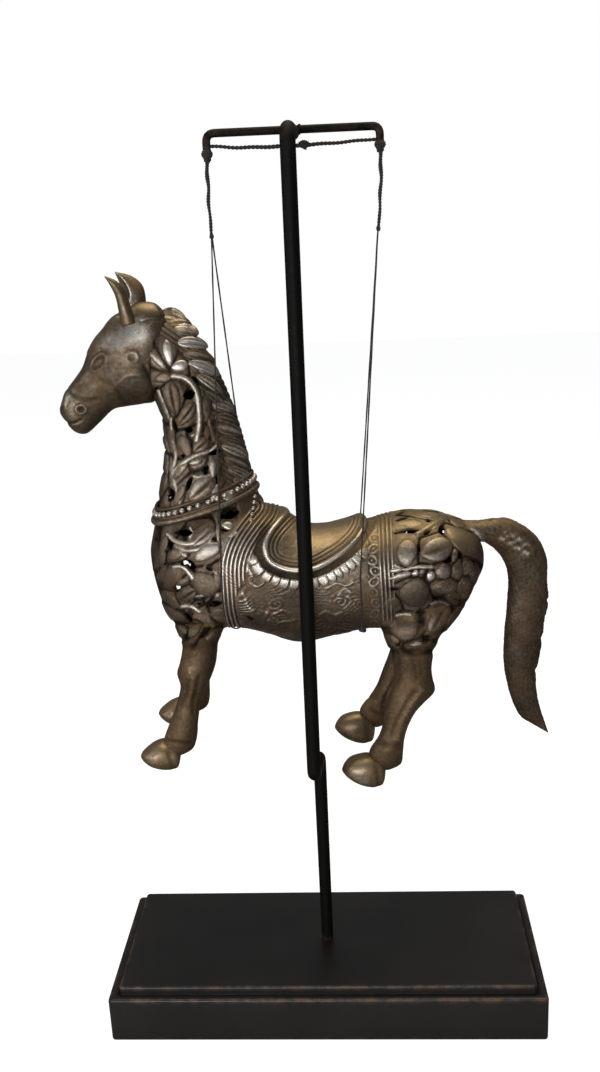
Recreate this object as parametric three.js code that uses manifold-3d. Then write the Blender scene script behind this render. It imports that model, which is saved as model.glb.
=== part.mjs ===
// A carousel-style horse in cast metal, slung by cords from a bent steel stand on a black wood base.
// Millimetres, +Z up. The horse faces -X. The origin is the centre of the base's underside.
import * as THREE from 'three';
import Module from 'manifold-3d';

const wasm = await Module();
wasm.setup();

// Base block, with a raised panel on it
const BASE_LENGTH = 300;
const BASE_DEPTH = 117;
const BASE_HEIGHT = 33.2;
const PANEL_RISE = 5.6;
const PANEL_INSET_SIDE = 7;
const PANEL_INSET_FRONT = 5.9;
const PANEL_INSET_BACK = 3.6;
const PANEL_TOP = BASE_HEIGHT + PANEL_RISE;

// Steel rod: up from the base, forward under the belly, up in front of the horse, back over it
const LOWER_ROD_R = 4.1;
const UPPER_ROD_R = 4.5;
const ROD_SOCKET_DEPTH = 22;
const FIT_GAP = 0.3;
const JOG_Y = -37.5;
const UPRIGHT_LOW_X = -2;
const UPRIGHT_HIGH_X = -0.2;
const JOG_BACK_Z = 186.9;
const JOG_FRONT_Z = 191;
const ROD_BEND = 7.5;
const ROD_SIDES = 10;

// Crossbar and the plane that the horse and bar share
const YAW_DEG = 5.5;
const HORSE_Y = 3;
const BAR_Z = 591.2;
const BAR_R = 2.4;
const BAR_LEFT = -50;
const BAR_RIGHT = 51.6;
const BAR_DROP_LEFT = 10.4;
const BAR_DROP_RIGHT = 9.2;
const BAR_BEND = 5;
const BAR_ABOVE_ROD = 1.6;
const ROD_TOP_Z = BAR_Z - BAR_ABOVE_ROD;

// Cords
const TIE_R = 1.25;
const TIE_DROP = 8.4;
const TIE_Z = BAR_Z - TIE_DROP;
const WRAP_R = 1.45;
const WRAP_DROP = 55.2;
const SPLIT_Z = BAR_Z - WRAP_DROP;
const STRING_R = 0.55;
const BELLY_LOW = 262;

// Where each cord's two strings pass the horse's near and far sides, and where they part above it
const FRONT_NEAR_X = -57.5;
const FRONT_FAR_X = -37;
const FRONT_SPLIT_X = -50.5;
const REAR_NEAR_X = 29;
const REAR_FAR_X = 34.7;
const REAR_SPLIT_X = 49.4;

// Horse shell
const WALL = 4.4;
const BODY_SIDES = 18;
const HEAD_SIDES = 12;
const LEG_SIDES = 8;
const SIMPLE = 0.3;

// Body and neck: chest-side point x z, back-side point x z, half width, egg (narrower along the back)
const BODY = [
  [-112, 478, -86, 490, 9, 0.1],
  [-101, 453, -68, 480, 11.5, 0.15],
  [-91.5, 434, -54.5, 459, 13.5, 0.2],
  [-88.4, 415, -44.5, 433, 15, 0.22],
  [-90.2, 398, -38.5, 408, 17, 0.22],
  [-95, 378, -34.5, 386, 20.5, 0.2],
  [-99.5, 358, -28, 367, 25, 0.15],
  [-104, 337, -18, 363.3, 29.5, 0.1],
  [-102, 316, -10.5, 357.8, 32, 0.06],
  [-96, 297, -4, 353.4, 33.5, 0.03],
  [-84, 287, 1, 351, 34, 0],
  [-60, 288, 5, 350, 34, 0],
  [-37, 283, 9.5, 350, 34, 0],
  [-12, 273.6, 14.5, 350.6, 33.5, 0],
  [12, 276.6, 23, 352.4, 33.5, 0],
  [29, 279.4, 32, 354.4, 33.5, 0],
  [42, 281, 40, 352, 33.5, 0],
  [54, 282, 56, 355, 34, 0],
  [68, 284.5, 72, 355.6, 34.5, 0],
  [84, 289.5, 87, 352.5, 32.5, 0],
  [97, 297, 99, 347.3, 27, 0],
  [106, 305, 107, 341, 19, 0],
  [111.5, 314, 112, 332, 9.5, 0],
];
const BODY_END = [113.4, 323];

// Head: jaw-side point, face-side point, half width
const HEAD = [
  [-147.6, 425.6, -149.6, 440, 6, 0],
  [-142.8, 420, -147, 445.7, 8.5, 0],
  [-136, 419, -141.3, 452.2, 9.3, 0],
  [-127.4, 425.6, -135, 460, 9.8, 0],
  [-118.5, 433, -131, 468.5, 11.3, 0],
  [-110, 434.6, -126, 476.5, 13, 0],
  [-100, 435.8, -120, 482.7, 14.3, 0],
  [-91.5, 437.8, -113.5, 489.3, 14, 0],
  [-85, 453, -105, 494.2, 12.3, 0],
  [-81, 467, -96, 497.4, 10.3, 0],
  [-79, 479, -88, 496.5, 7, 0],
];
const HEAD_START = [-151.2, 434];
const HEAD_END = [-81, 489];

// Legs: front point, back point, half width, distance from the middle plane
const FORELEG = [
  [-92, 306, -52, 306, 8, 20],
  [-89, 294, -57.5, 296, 9.5, 24.5],
  [-86.2, 282, -62.8, 282, 9.4, 27],
  [-88, 272.5, -64.8, 272, 9, 28.3],
  [-90.2, 265.5, -67.3, 265, 8.5, 29],
  [-88.8, 257, -71.3, 256.5, 7.4, 29.5],
  [-91, 248, -76.3, 247, 6.5, 30],
  [-94.2, 239, -78.2, 237.5, 6.4, 30.4],
  [-98.3, 230.2, -80, 228, 6.9, 30.7],
  [-101.8, 222, -81.2, 219, 7.8, 31],
  [-103.5, 216.5, -84.3, 212.7, 7.2, 31],
];
const FORE_HOOF = [
  [-93, 204.5, -92, 214, 6.5, 31],
  [-95.5, 200.4, -97, 218, 8.6, 31],
  [-100, 199.6, -103, 220, 9.6, 31],
  [-106, 200.6, -109, 218, 9.8, 31],
  [-111.5, 203, -114, 214.5, 8.4, 31],
  [-116, 206.4, -117, 212, 5, 31],
];
const FORE_TOE = [-118.4, 209.5];
const HINDLEG = [
  [38, 302, 103, 305, 10, 18],
  [41, 288.5, 96, 294, 12, 22],
  [44.3, 277, 85, 281.5, 11.5, 25.5],
  [47.3, 269, 77.4, 270.5, 10.3, 27.3],
  [49.4, 259, 74, 259.5, 9.3, 28.3],
  [48.6, 250, 74.4, 251.5, 8.8, 29],
  [46.2, 241.8, 75.6, 243, 8.4, 29.5],
  [44.4, 236, 69.6, 236.5, 7.8, 30],
  [42.4, 229.5, 63.1, 229.5, 7.3, 30.3],
  [41, 221, 58.2, 220.5, 7, 30.6],
  [38, 212.5, 55.2, 211.5, 7, 31],
  [33, 205, 54, 202.5, 7.8, 31],
  [31.5, 200.5, 53.3, 194.5, 8, 31],
  [34, 195.5, 51.3, 191.8, 7, 31],
];
const HIND_HOOF = [
  [40.5, 181.5, 41.5, 193.5, 6.5, 31],
  [38.2, 178, 37, 198, 8.6, 31],
  [33.2, 177, 31, 200.2, 9.6, 31],
  [27, 178.6, 25, 199.7, 9.8, 31],
  [21, 181.8, 19, 197.7, 8.8, 31],
  [16, 185.8, 15, 193.8, 5.6, 31],
];
const HIND_TOE = [12.9, 189.7];

// The far legs stand a little further back than the near ones: shift of each station along x
const FAR_FORE_SHIFT = [0, 0, 0, 0, 0.5, 2, 3.5, 4.8, 6, 6.5, 6.8];
const FAR_HIND_SHIFT = [0, 1.5, 4, 6, 6.5, 6, 5.8, 5.4, 5, 3.2, 1, 0, 0, 0];

// Tail: inner point, outer point, half width
const TAIL = [
  [104, 333, 103, 346, 6.5, 0],
  [112.5, 333.3, 111.5, 347.6, 7.2, 0],
  [118.5, 329.7, 119.5, 348.3, 7.6, 0],
  [123.8, 324.2, 130.3, 347.6, 8, 0],
  [127.4, 318, 141.5, 341.3, 8.4, 0],
  [129.7, 311, 150.5, 332, 8.6, 0],
  [130.4, 302, 155.6, 319, 8.6, 0],
  [129.8, 291, 156.2, 303, 8.6, 0],
  [129, 279, 157.6, 289, 8.5, 0],
  [128, 266, 155, 277, 8.4, 0],
  [127.6, 253, 154, 264, 8.2, 0],
  [128.5, 240, 152, 250, 8, 0],
  [131, 228, 150, 236.5, 7.4, 0],
  [134, 217, 150.6, 224, 6.4, 0],
  [139.3, 206, 153, 212, 5, 0],
  [147, 199.8, 156.2, 202, 3.2, 0],
];
const TAIL_TIP = [159.8, 191.4];

// Ears, near and far: front point, back point, half width, distance from the middle plane
const EAR_NEAR = [
  [-107.8, 486, -96, 489, 4.5, 8],
  [-108.6, 496, -98.5, 499, 5, 9],
  [-110.2, 503, -102.6, 506, 4.2, 10],
  [-112.4, 509, -107.4, 511.5, 2.4, 10.8],
];
const EAR_FAR = [
  [-107.5, 486, -94, 489, 4.5, 8],
  [-107.6, 496, -93.5, 499, 5, 9],
  [-108.6, 504, -95.2, 507, 4.4, 10],
  [-110, 510, -101.5, 512.6, 2.8, 10.8],
];
const EAR_NEAR_TIP = [-114.8, 514];
const EAR_FAR_TIP = [-111.2, 515.6];
const EAR_TIP_Y = 11.2;

// Mane locks: root x z at the neck's side, tip x z on the crest's outline
const LOCKS = [
  [-86, 489.5, -65, 481],
  [-82, 487, -55, 467.5],
  [-73, 477, -48, 452.5],
  [-64, 464, -43, 437.5],
  [-57, 450, -38.8, 421.5],
  [-52.5, 435, -35.6, 406],
  [-49, 419, -33, 391],
  [-46, 403, -30.6, 376],
];
const LOCK_HALF = 5.6;
const LOCK_SIDE = 3.4;

// Carved leaves and bosses: x, z, half length, half width, turn in degrees, rise
const LEAVES = [
  [-81, 437, 9, 4.4, 80, 1.8],
  [-74, 424, 7, 4, 70, 1.8],
  [-70, 384, 9.5, 6.5, 35, 2.2],
  [-72, 349, 11, 4, 10, 2.2],
  [-68, 334, 8.5, 5.8, 25, 2.2],
  [59, 335, 6.6, 8, 0, 2.2],
  [77, 333, 10, 6.4, 12, 2.4],
  [84, 320, 5, 5, 0, 2.2],
  [64, 311, 8, 7, 0, 2.2],
  [78, 291, 13, 5.2, 62, 2.4],
  [58, 287, 11.5, 8.5, 10, 2],
  [92, 331, 8.5, 4.4, -48, 2],
];

// Piercings through the shell: x, z, half length, half width, turn in degrees
const HOLES = [
  [-62, 394, 3.2, 2.2, 40],
  [-51, 368, 5.6, 3, 10],
  [-81, 355, 4.6, 2.6, -8],
  [-80, 339, 5, 2.6, 70],
  [-80, 324.5, 3.6, 2.6, 45],
  [-70, 303, 3.8, 2.2, 0],
  [66, 346, 4.6, 2.2, -30],
  [76, 320.5, 2.8, 2.6, 0],
  [68, 292, 5.2, 2, 85],
];

// Saddle rim down the flank: x, z
const SADDLE_RIM = [
  [-21, 362], [-26, 357], [-29, 350], [-29, 343], [-26.5, 337.5], [-21, 333.6], [-13, 331], [-4, 330.6],
  [4, 332.4], [12, 336.6], [20, 341.8], [26, 347.2], [29.6, 351.6], [31.6, 354],
];

// Collar round the base of the neck: chest point, back point, half width, tube radius
const COLLARS = [
  [-99.2, 356.5, -31, 374, 24.6, 3.8],
];

const materials = {
  bronze: new THREE.MeshStandardMaterial({ name: 'aged_bronze', color: 0x6b5f4d, metalness: 0.8, roughness: 0.45 }),
  wood: new THREE.MeshStandardMaterial({ name: 'black_lacquer', color: 0x151412, metalness: 0, roughness: 0.45 }),
  steel: new THREE.MeshStandardMaterial({ name: 'black_steel', color: 0x1a1917, metalness: 0.3, roughness: 0.5 }),
  cord: new THREE.MeshStandardMaterial({ name: 'black_cord', color: 0x14110f, metalness: 0, roughness: 0.9 }),
};

function lerp(a, b, t) {
  return a + (b - a) * t;
}

function catmull(a, b, c, d, t) {
  return 0.5 * (2 * b + (c - a) * t + (2 * a - 5 * b + 4 * c - d) * t * t + (3 * b - a - 3 * c + d) * t * t * t);
}

// Rows of a station table, resampled to a count along a smooth curve through them
function resample(rows, count) {
  const last = rows.length - 1;
  const out = [];
  for (let i = 0; i < count; i += 1) {
    const at = (i / (count - 1)) * last;
    const k = Math.min(Math.floor(at), last - 1);
    const t = at - k;
    const row = rows[k].map((value, column) =>
      catmull(rows[Math.max(k - 1, 0)][column], value, rows[k + 1][column],
        rows[Math.min(k + 2, last)][column], t));
    out.push(row);
  }
  return out;
}

// One closed ring through the two side-view points of a station
function ring(row, sides, squareness, side) {
  const [ax, az, bx, bz, half, extra] = row;
  const egg = side === 0 ? extra : 0;
  const centre = side === 0 ? 0 : side * extra;
  const power = 2 / squareness;
  const points = [];
  for (let k = 0; k < sides; k += 1) {
    const angle = (2 * Math.PI * k) / sides;
    const c = Math.sign(Math.cos(angle)) * Math.abs(Math.cos(angle)) ** power;
    const s = Math.sign(Math.sin(angle)) * Math.abs(Math.sin(angle)) ** power;
    points.push([
      (ax + bx) / 2 + ((bx - ax) / 2) * c,
      centre + half * s * (1 - egg * c),
      (az + bz) / 2 + ((bz - az) / 2) * c,
    ]);
  }
  return points;
}

function middle(points) {
  const sum = points.reduce((acc, p) => [acc[0] + p[0], acc[1] + p[1], acc[2] + p[2]], [0, 0, 0]);
  return sum.map((value) => value / points.length);
}

// A closed solid through rings of equal length; its ends are fans to a point
function skin(rings, start, end, closed = false) {
  const sides = rings[0].length;
  const verts = rings.flat();
  const faces = [];
  const spans = closed ? rings.length : rings.length - 1;
  for (let i = 0; i < spans; i += 1) {
    const next = (i + 1) % rings.length;
    for (let k = 0; k < sides; k += 1) {
      const l = (k + 1) % sides;
      const a = i * sides + k;
      const b = i * sides + l;
      const c = next * sides + l;
      const d = next * sides + k;
      faces.push([a, b, c], [a, c, d]);
    }
  }
  if (!closed) {
    const first = verts.length;
    verts.push(start ?? middle(rings[0]));
    verts.push(end ?? middle(rings[rings.length - 1]));
    const base = (rings.length - 1) * sides;
    for (let k = 0; k < sides; k += 1) {
      const l = (k + 1) % sides;
      faces.push([first, l, k], [first + 1, base + k, base + l]);
    }
  }
  return solidOf(verts, faces);
}

function solidOf(verts, faces) {
  const make = (list) => new wasm.Manifold(new wasm.Mesh({
    numProp: 3,
    vertProperties: Float32Array.from(verts.flat()),
    triVerts: Uint32Array.from(list.flat()),
  }));
  const solid = make(faces);
  if (solid.volume() > 0) {
    return solid;
  }
  return make(faces.map(([a, b, c]) => [a, c, b]));
}

function limb(rows, count, sides, squareness, side, start, end) {
  const rings = resample(rows, count).map((row) => ring(row, sides, squareness, side));
  const lift = (p, rowAt) => (p ? [p[0], side === 0 ? 0 : side * rowAt[5], p[1]] : undefined);
  return skin(rings, lift(start, rows[0]), lift(end, rows[rows.length - 1]));
}

function join(solids) {
  return wasm.Manifold.union(solids);
}

// A tube along points, its radius a number or a function of the fraction along
function tube(points, radius, sides, closed = false, flat = 1) {
  const count = points.length;
  const at = typeof radius === 'function' ? radius : () => radius;
  const vec = points.map((p) => new THREE.Vector3(...p));
  const tangents = vec.map((p, i) => {
    const before = closed ? vec[(i + count - 1) % count] : vec[Math.max(i - 1, 0)];
    const after = closed ? vec[(i + 1) % count] : vec[Math.min(i + 1, count - 1)];
    return after.clone().sub(before).normalize();
  });
  let normal = new THREE.Vector3(0.31, 0.87, 0.13).cross(tangents[0]).normalize();
  const rings = [];
  for (let i = 0; i < count; i += 1) {
    normal = normal.clone().addScaledVector(tangents[i], -normal.dot(tangents[i])).normalize();
    const other = tangents[i].clone().cross(normal);
    const r = at(i / (count - 1));
    const loop = [];
    for (let k = 0; k < sides; k += 1) {
      const angle = (2 * Math.PI * k) / sides;
      const p = vec[i].clone().addScaledVector(normal, r * Math.cos(angle))
        .addScaledVector(other, r * flat * Math.sin(angle));
      loop.push([p.x, p.y, p.z]);
    }
    rings.push(loop);
  }
  return skin(rings, undefined, undefined, closed);
}

// A polyline with its inner corners rounded
function rounded(points, bend, steps) {
  const out = [points[0]];
  for (let i = 1; i < points.length - 1; i += 1) {
    const p = new THREE.Vector3(...points[i]);
    const back = new THREE.Vector3(...points[i - 1]).sub(p);
    const on = new THREE.Vector3(...points[i + 1]).sub(p);
    const reach = Math.min(bend, back.length() * 0.49, on.length() * 0.49);
    const from = p.clone().addScaledVector(back.normalize(), reach);
    const to = p.clone().addScaledVector(on.normalize(), reach);
    const curve = new THREE.QuadraticBezierCurve3(from, p, to);
    const arc = curve.getPoints(steps);
    const full = arc.map((q) => [q.x, q.y, q.z]);
    out.push(...full);
  }
  out.push(points[points.length - 1]);
  return out;
}

function ball(centre, radius, sides = 8, stretch = 1) {
  const rings = [];
  const steps = 4;
  for (let i = 1; i < steps; i += 1) {
    const lat = (Math.PI * i) / steps;
    const loop = [];
    for (let k = 0; k < sides; k += 1) {
      const angle = (2 * Math.PI * k) / sides;
      loop.push([
        centre[0] + radius * Math.sin(lat) * Math.cos(angle),
        centre[1] + radius * Math.sin(lat) * Math.sin(angle),
        centre[2] + radius * stretch * Math.cos(lat),
      ]);
    }
    rings.push(loop);
  }
  const top = [centre[0], centre[1], centre[2] + radius * stretch];
  const bottom = [centre[0], centre[1], centre[2] - radius * stretch];
  return skin(rings, top, bottom);
}

// Triangles of a solid as plain arrays, to find where its side lies
function trianglesOf(solid) {
  const mesh = solid.getMesh();
  const step = mesh.numProp;
  const list = [];
  for (let i = 0; i < mesh.triVerts.length; i += 3) {
    const tri = [0, 1, 2].map((j) => {
      const v = mesh.triVerts[i + j] * step;
      return [mesh.vertProperties[v], mesh.vertProperties[v + 1], mesh.vertProperties[v + 2]];
    });
    list.push(tri);
  }
  return list;
}

// The outermost y of a solid on one side of the middle plane, under the side-view point x z
function sideAt(triangles, x, z, side) {
  let best;
  for (const [a, b, c] of triangles) {
    const area = (b[0] - a[0]) * (c[2] - a[2]) - (c[0] - a[0]) * (b[2] - a[2]);
    if (Math.abs(area) < 1e-9) {
      continue;
    }
    const u = ((b[0] - x) * (c[2] - z) - (c[0] - x) * (b[2] - z)) / area;
    const v = ((c[0] - x) * (a[2] - z) - (a[0] - x) * (c[2] - z)) / area;
    const w = 1 - u - v;
    if (u < -1e-6 || v < -1e-6 || w < -1e-6) {
      continue;
    }
    const y = u * a[1] + v * b[1] + w * c[1];
    if (best === undefined || y * side > best * side) {
      best = y;
    }
  }
  return best;
}

// A point on the side of a solid and the outward direction there
function spot(triangles, x, z, side) {
  const y = sideAt(triangles, x, z, side);
  if (y === undefined) {
    return undefined;
  }
  const reach = 2.5;
  const east = sideAt(triangles, x + reach, z, side) ?? y;
  const west = sideAt(triangles, x - reach, z, side) ?? y;
  const high = sideAt(triangles, x, z + reach, side) ?? y;
  const low = sideAt(triangles, x, z - reach, side) ?? y;
  const out = new THREE.Vector3(-(east - west) / (2 * reach) * side, 1, -(high - low) / (2 * reach) * side);
  out.y = side;
  out.x = -((east - west) / (2 * reach)) * side;
  out.z = -((high - low) / (2 * reach)) * side;
  out.normalize();
  return { point: new THREE.Vector3(x, y, z), out };
}

// A low domed leaf, or a straight-sided cutter of the same outline
function leaf(triangles, x, z, halfLong, halfWide, turn, rise, side, sides, pointed, depth) {
  const here = spot(triangles, x, z, side);
  if (!here) {
    return undefined;
  }
  const angle = (turn * Math.PI) / 180;
  const along = new THREE.Vector3(Math.cos(angle), 0, Math.sin(angle));
  along.addScaledVector(here.out, -along.dot(here.out)).normalize();
  const across = here.out.clone().cross(along);
  const verts = [];
  const faces = [];
  const place = (a, b, height) => {
    const flat = here.point.clone().addScaledVector(along, a).addScaledVector(across, b);
    const y = sideAt(triangles, flat.x, flat.z, side);
    const near = y !== undefined && Math.abs(y - here.point.y) < 6;
    const p = near ? new THREE.Vector3(flat.x, y, flat.z) : flat;
    p.addScaledVector(here.out, height);
    return [p.x, p.y, p.z];
  };
  for (let k = 0; k < sides; k += 1) {
    const t = (2 * Math.PI * k) / sides;
    const pinch = pointed ? 1 - 0.45 * Math.cos(t) ** 2 : 1;
    const a = halfLong * Math.cos(t);
    const b = halfWide * Math.sin(t) * pinch;
    verts.push(place(a, b, rise * 0.35));
    verts.push(place(a * 0.92, b * 0.92, -depth));
  }
  verts.push(place(0, 0, rise));
  verts.push(place(0, 0, -depth));
  const top = sides * 2;
  for (let k = 0; k < sides; k += 1) {
    const l = (k + 1) % sides;
    faces.push([2 * k, 2 * l, 2 * l + 1], [2 * k, 2 * l + 1, 2 * k + 1]);
    faces.push([top, 2 * l, 2 * k], [top + 1, 2 * k + 1, 2 * l + 1]);
  }
  return solidOf(verts, faces);
}

function shrink(rows, wall) {
  return rows.map(([ax, az, bx, bz, half, extra]) => {
    const length = Math.hypot(bx - ax, bz - az);
    const k = wall / length;
    return [lerp(ax, bx, k), lerp(az, bz, k), lerp(bx, ax, k), lerp(bz, az, k), half - wall, extra];
  });
}

function legs(rows, shift, hoof, toe, side) {
  const moved = side < 0 ? rows : rows.map((row, i) => [row[0] + shift[i], row[1], row[2] + shift[i], ...row.slice(3)]);
  const leg = limb(moved, rows.length, LEG_SIDES, 2.1, side);
  const foot = limb(hoof, hoof.length, LEG_SIDES, 2.2, side, undefined, toe);
  return [leg, foot];
}

function ear(side) {
  const rows = side < 0 ? EAR_NEAR : EAR_FAR;
  const tip = side < 0 ? EAR_NEAR_TIP : EAR_FAR_TIP;
  return skin(rows.map((row) => ring(row, 8, 2, side)), undefined, [tip[0], side * EAR_TIP_Y, tip[1]]);
}

function lock(triangles, row, side) {
  const [rootX, rootZ, tipX, tipZ] = row;
  const steps = 4;
  const length = Math.hypot(tipX - rootX, tipZ - rootZ);
  const alongX = (tipX - rootX) / length;
  const alongZ = (tipZ - rootZ) / length;
  const rings = [];
  for (let i = 0; i <= steps; i += 1) {
    const t = i / steps;
    const sway = 1.9 * Math.sin(2 * Math.PI * t);
    const x = lerp(rootX, tipX, t) - alongZ * sway;
    const z = lerp(rootZ, tipZ, t) + alongX * sway;
    const skinY = sideAt(triangles, x, z, side) ?? side * 2;
    const y = Math.abs(skinY) < 3 ? side * 3 : skinY * 0.96;
    const swell = Math.sin(Math.PI * (0.12 + 0.72 * t));
    const loop = [];
    for (let k = 0; k < 5; k += 1) {
      const angle = (2 * Math.PI * k) / 5;
      const lift = LOCK_HALF * swell * Math.cos(angle);
      loop.push([x - alongZ * lift, y + LOCK_SIDE * swell * Math.sin(angle), z + alongX * lift]);
    }
    rings.push(loop);
  }
  return skin(rings);
}

function saddleRim(triangles, side) {
  const points = resample(SADDLE_RIM, 11).map(([x, z]) => {
    const here = spot(triangles, x, z, side);
    if (!here) {
      return [x, side * 2, z];
    }
    const p = here.point.clone().addScaledVector(here.out, 0.3);
    return [p.x, p.y, p.z];
  });
  return tube(points, 1.8, 4);
}

function collar(row) {
  const [ax, az, bx, bz, half, r] = row;
  const points = ring([ax, az, bx, bz, half, 0.15], 16, 2.2, 0);
  return tube(points, r, 4, true);
}

function headCuts(triangles, side) {
  return [
    leaf(triangles, -124.5, 464, 3.6, 2.1, 60, 4, side, 6, true, 1.2),
    leaf(triangles, -139.5, 434.5, 2.6, 1.6, 60, 4, side, 6, false, 1.6),
    leaf(triangles, -146.5, 424.5, 4.5, 0.9, 10, 4, side, 6, true, 1.2),
  ];
}

function headRelief(triangles, side) {
  return [
    leaf(triangles, -103.5, 448, 10.5, 10.5, 0, 2.2, side, 8, false, 2),
    leaf(triangles, -104, 465.5, 3.2, 3.2, 0, 1.8, side, 6, false, 2),
    leaf(triangles, -121.5, 470, 6.5, 2, 60, 1.8, side, 6, true, 2),
  ];
}

function horseSolid() {
  const trunk = limb(BODY, 27, BODY_SIDES, 2.25, 0, undefined, BODY_END);
  const head = limb(HEAD, 13, HEAD_SIDES, 2.3, 0, HEAD_START, HEAD_END);
  const tail = limb(TAIL, 13, LEG_SIDES, 2, 0, undefined, TAIL_TIP);
  const trunkSide = trianglesOf(trunk);
  const headSide = trianglesOf(head);
  const added = [trunk, head, tail];
  const cut = [];
  for (const side of [-1, 1]) {
    added.push(...legs(FORELEG, FAR_FORE_SHIFT, FORE_HOOF, FORE_TOE, side));
    added.push(...legs(HINDLEG, FAR_HIND_SHIFT, HIND_HOOF, HIND_TOE, side));
    added.push(ear(side));
    added.push(...LOCKS.map((row) => lock(trunkSide, row, side)));
    added.push(...LEAVES.map(([x, z, a, b, turn, rise]) =>
      leaf(trunkSide, x, z, a, b, turn, rise, side, 6, true, 2.4)));
    added.push(saddleRim(trunkSide, side));
    added.push(...headRelief(headSide, side));
    cut.push(...HOLES.map(([x, z, a, b, turn]) =>
      leaf(trunkSide, x, z, a, b, turn, 5, side, 5, false, WALL + 1.6)));
    cut.push(...headCuts(headSide, side));
  }
  added.push(...COLLARS.map(collar));
  const cavity = limb(shrink(BODY.slice(3, 21), WALL), 15, 12, 2.2, 0);
  const whole = join(added.filter(Boolean));
  const pierced = whole.subtract(join([cavity, ...cut.filter(Boolean)]));
  return pierced.simplify(SIMPLE);
}

// Convex outline of points in a plane, anticlockwise
function hull(points) {
  const list = [...points].sort((a, b) => a[0] - b[0] || a[1] - b[1]);
  const turn = (o, a, b) => (a[0] - o[0]) * (b[1] - o[1]) - (a[1] - o[1]) * (b[0] - o[0]);
  const half = (source) => {
    const out = [];
    for (const p of source) {
      while (out.length > 1 && turn(out[out.length - 2], out[out.length - 1], p) <= 0) {
        out.pop();
      }
      out.push(p);
    }
    out.pop();
    return out;
  };
  return [...half(list), ...half(list.reverse())];
}

// The string's way round the horse in an upright plane, from the split above and back to it
function sling(horse, nearX, farX, splitX) {
  const reach = 34;
  const skew = Math.atan2(farX - nearX, 2 * reach);
  const centreX = (nearX + farX) / 2;
  const turned = horse.translate([-centreX, 0, 0]).rotate([0, 0, (skew * 180) / Math.PI]);
  const laid = turned.transform([0, 0, 1, 0, 1, 0, 0, 0, 0, 1, 0, 0, 0, 0, 0, 1]);
  const found = [];
  for (const height of [-1, 0, 1]) {
    found.push(...laid.slice(height).toPolygons().flat().filter(([, z]) => z > BELLY_LOW));
  }
  const clear = STRING_R + 2 * FIT_GAP;
  const spread = [];
  for (const [y, z] of found) {
    for (let k = 0; k < 12; k += 1) {
      const angle = (2 * Math.PI * k) / 12;
      spread.push([y + clear * Math.cos(angle), z + clear * Math.sin(angle)]);
    }
  }
  const loop = hull([...spread, [-0.01, SPLIT_Z], [0.01, SPLIT_Z]]);
  const top = loop.findIndex(([, z]) => z > SPLIT_Z - 1);
  const order = [...loop.slice(top), ...loop.slice(0, top)].filter(([, z]) => z < SPLIT_Z - 1);
  const thin = [];
  for (const p of order) {
    const before = thin[thin.length - 1];
    if (!before || Math.hypot(p[0] - before[0], p[1] - before[1]) > 5) {
      thin.push(p);
    }
  }
  const lean = (z) => Math.max(0, (z - 400) / (SPLIT_Z - 400)) * (splitX - centreX);
  const place = ([y, z]) => [
    centreX + lean(z) + y * Math.sin(skew),
    y * Math.cos(skew),
    z,
  ];
  return [[splitX, 0, SPLIT_Z], ...thin.map(place)];
}

function toWorld(solid) {
  return solid.rotate([0, 0, YAW_DEG]).translate([0, HORSE_Y, 0]);
}

function hangingCord(horse, nearX, farX, splitX, barX, knotZ, bulge, tied) {
  const loop = sling(horse, nearX, farX, splitX);
  const half = Math.floor(loop.length / 2);
  const spaced = [];
  loop.forEach((p, i) => {
    const next = loop[(i + 1) % loop.length];
    spaced.push(p);
    const gap = Math.hypot(next[0] - p[0], next[1] - p[1], next[2] - p[2]);
    const extra = Math.min(5, Math.floor(gap / 30));
    for (let k = 1; k <= extra; k += 1) {
      const t = k / (extra + 1);
      spaced.push([lerp(p[0], next[0], t), lerp(p[1], next[1], t), lerp(p[2], next[2], t)]);
    }
  });
  const strings = tube(spaced, STRING_R, 5, true);
  const wrap = tube([[barX, 0, knotZ + 1], [lerp(barX, splitX, 0.4) + bulge, 0, lerp(knotZ, SPLIT_Z, 0.4)],
    [splitX, 0, SPLIT_Z - 3]], (t) => WRAP_R * (1 - 0.35 * t), 8);
  const knot = ball([barX, 0, knotZ], 3, 6, 1.15);
  const low = loop.reduce((best, p) => (p[2] < best[2] ? p : best), loop[half]);
  const bow = ball([low[0], low[1], low[2] - 1.1], 1.7, 6, 1);
  return join(tied ? [strings, wrap, knot, bow] : [strings, wrap, knot]);
}

function barSolid() {
  const z = BAR_Z;
  const path = rounded([
    [BAR_LEFT, 0, z - BAR_DROP_LEFT], [BAR_LEFT, 0, z], [BAR_RIGHT, 0, z], [BAR_RIGHT, 0, z - BAR_DROP_RIGHT],
  ], BAR_BEND, 5);
  return tube(path, BAR_R, 8);
}

function barSleeve() {
  return tube([[BAR_LEFT - 3, 0, BAR_Z], [BAR_RIGHT + 3, 0, BAR_Z]], BAR_R + FIT_GAP, 14);
}

function postSolid() {
  const end = HORSE_Y + 1.2;
  const path = rounded([
    [0, 0, PANEL_TOP - ROD_SOCKET_DEPTH + FIT_GAP],
    [0, 0, JOG_BACK_Z],
    [UPRIGHT_LOW_X, JOG_Y, JOG_FRONT_Z],
    [UPRIGHT_HIGH_X, JOG_Y, ROD_TOP_Z],
    [0, end, ROD_TOP_Z],
  ], ROD_BEND, 5);
  const radius = (t) => lerp(LOWER_ROD_R, UPPER_ROD_R, Math.min(1, t * 3));
  return tube(path, radius, ROD_SIDES).subtract(toWorld(barSleeve()));
}

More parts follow.
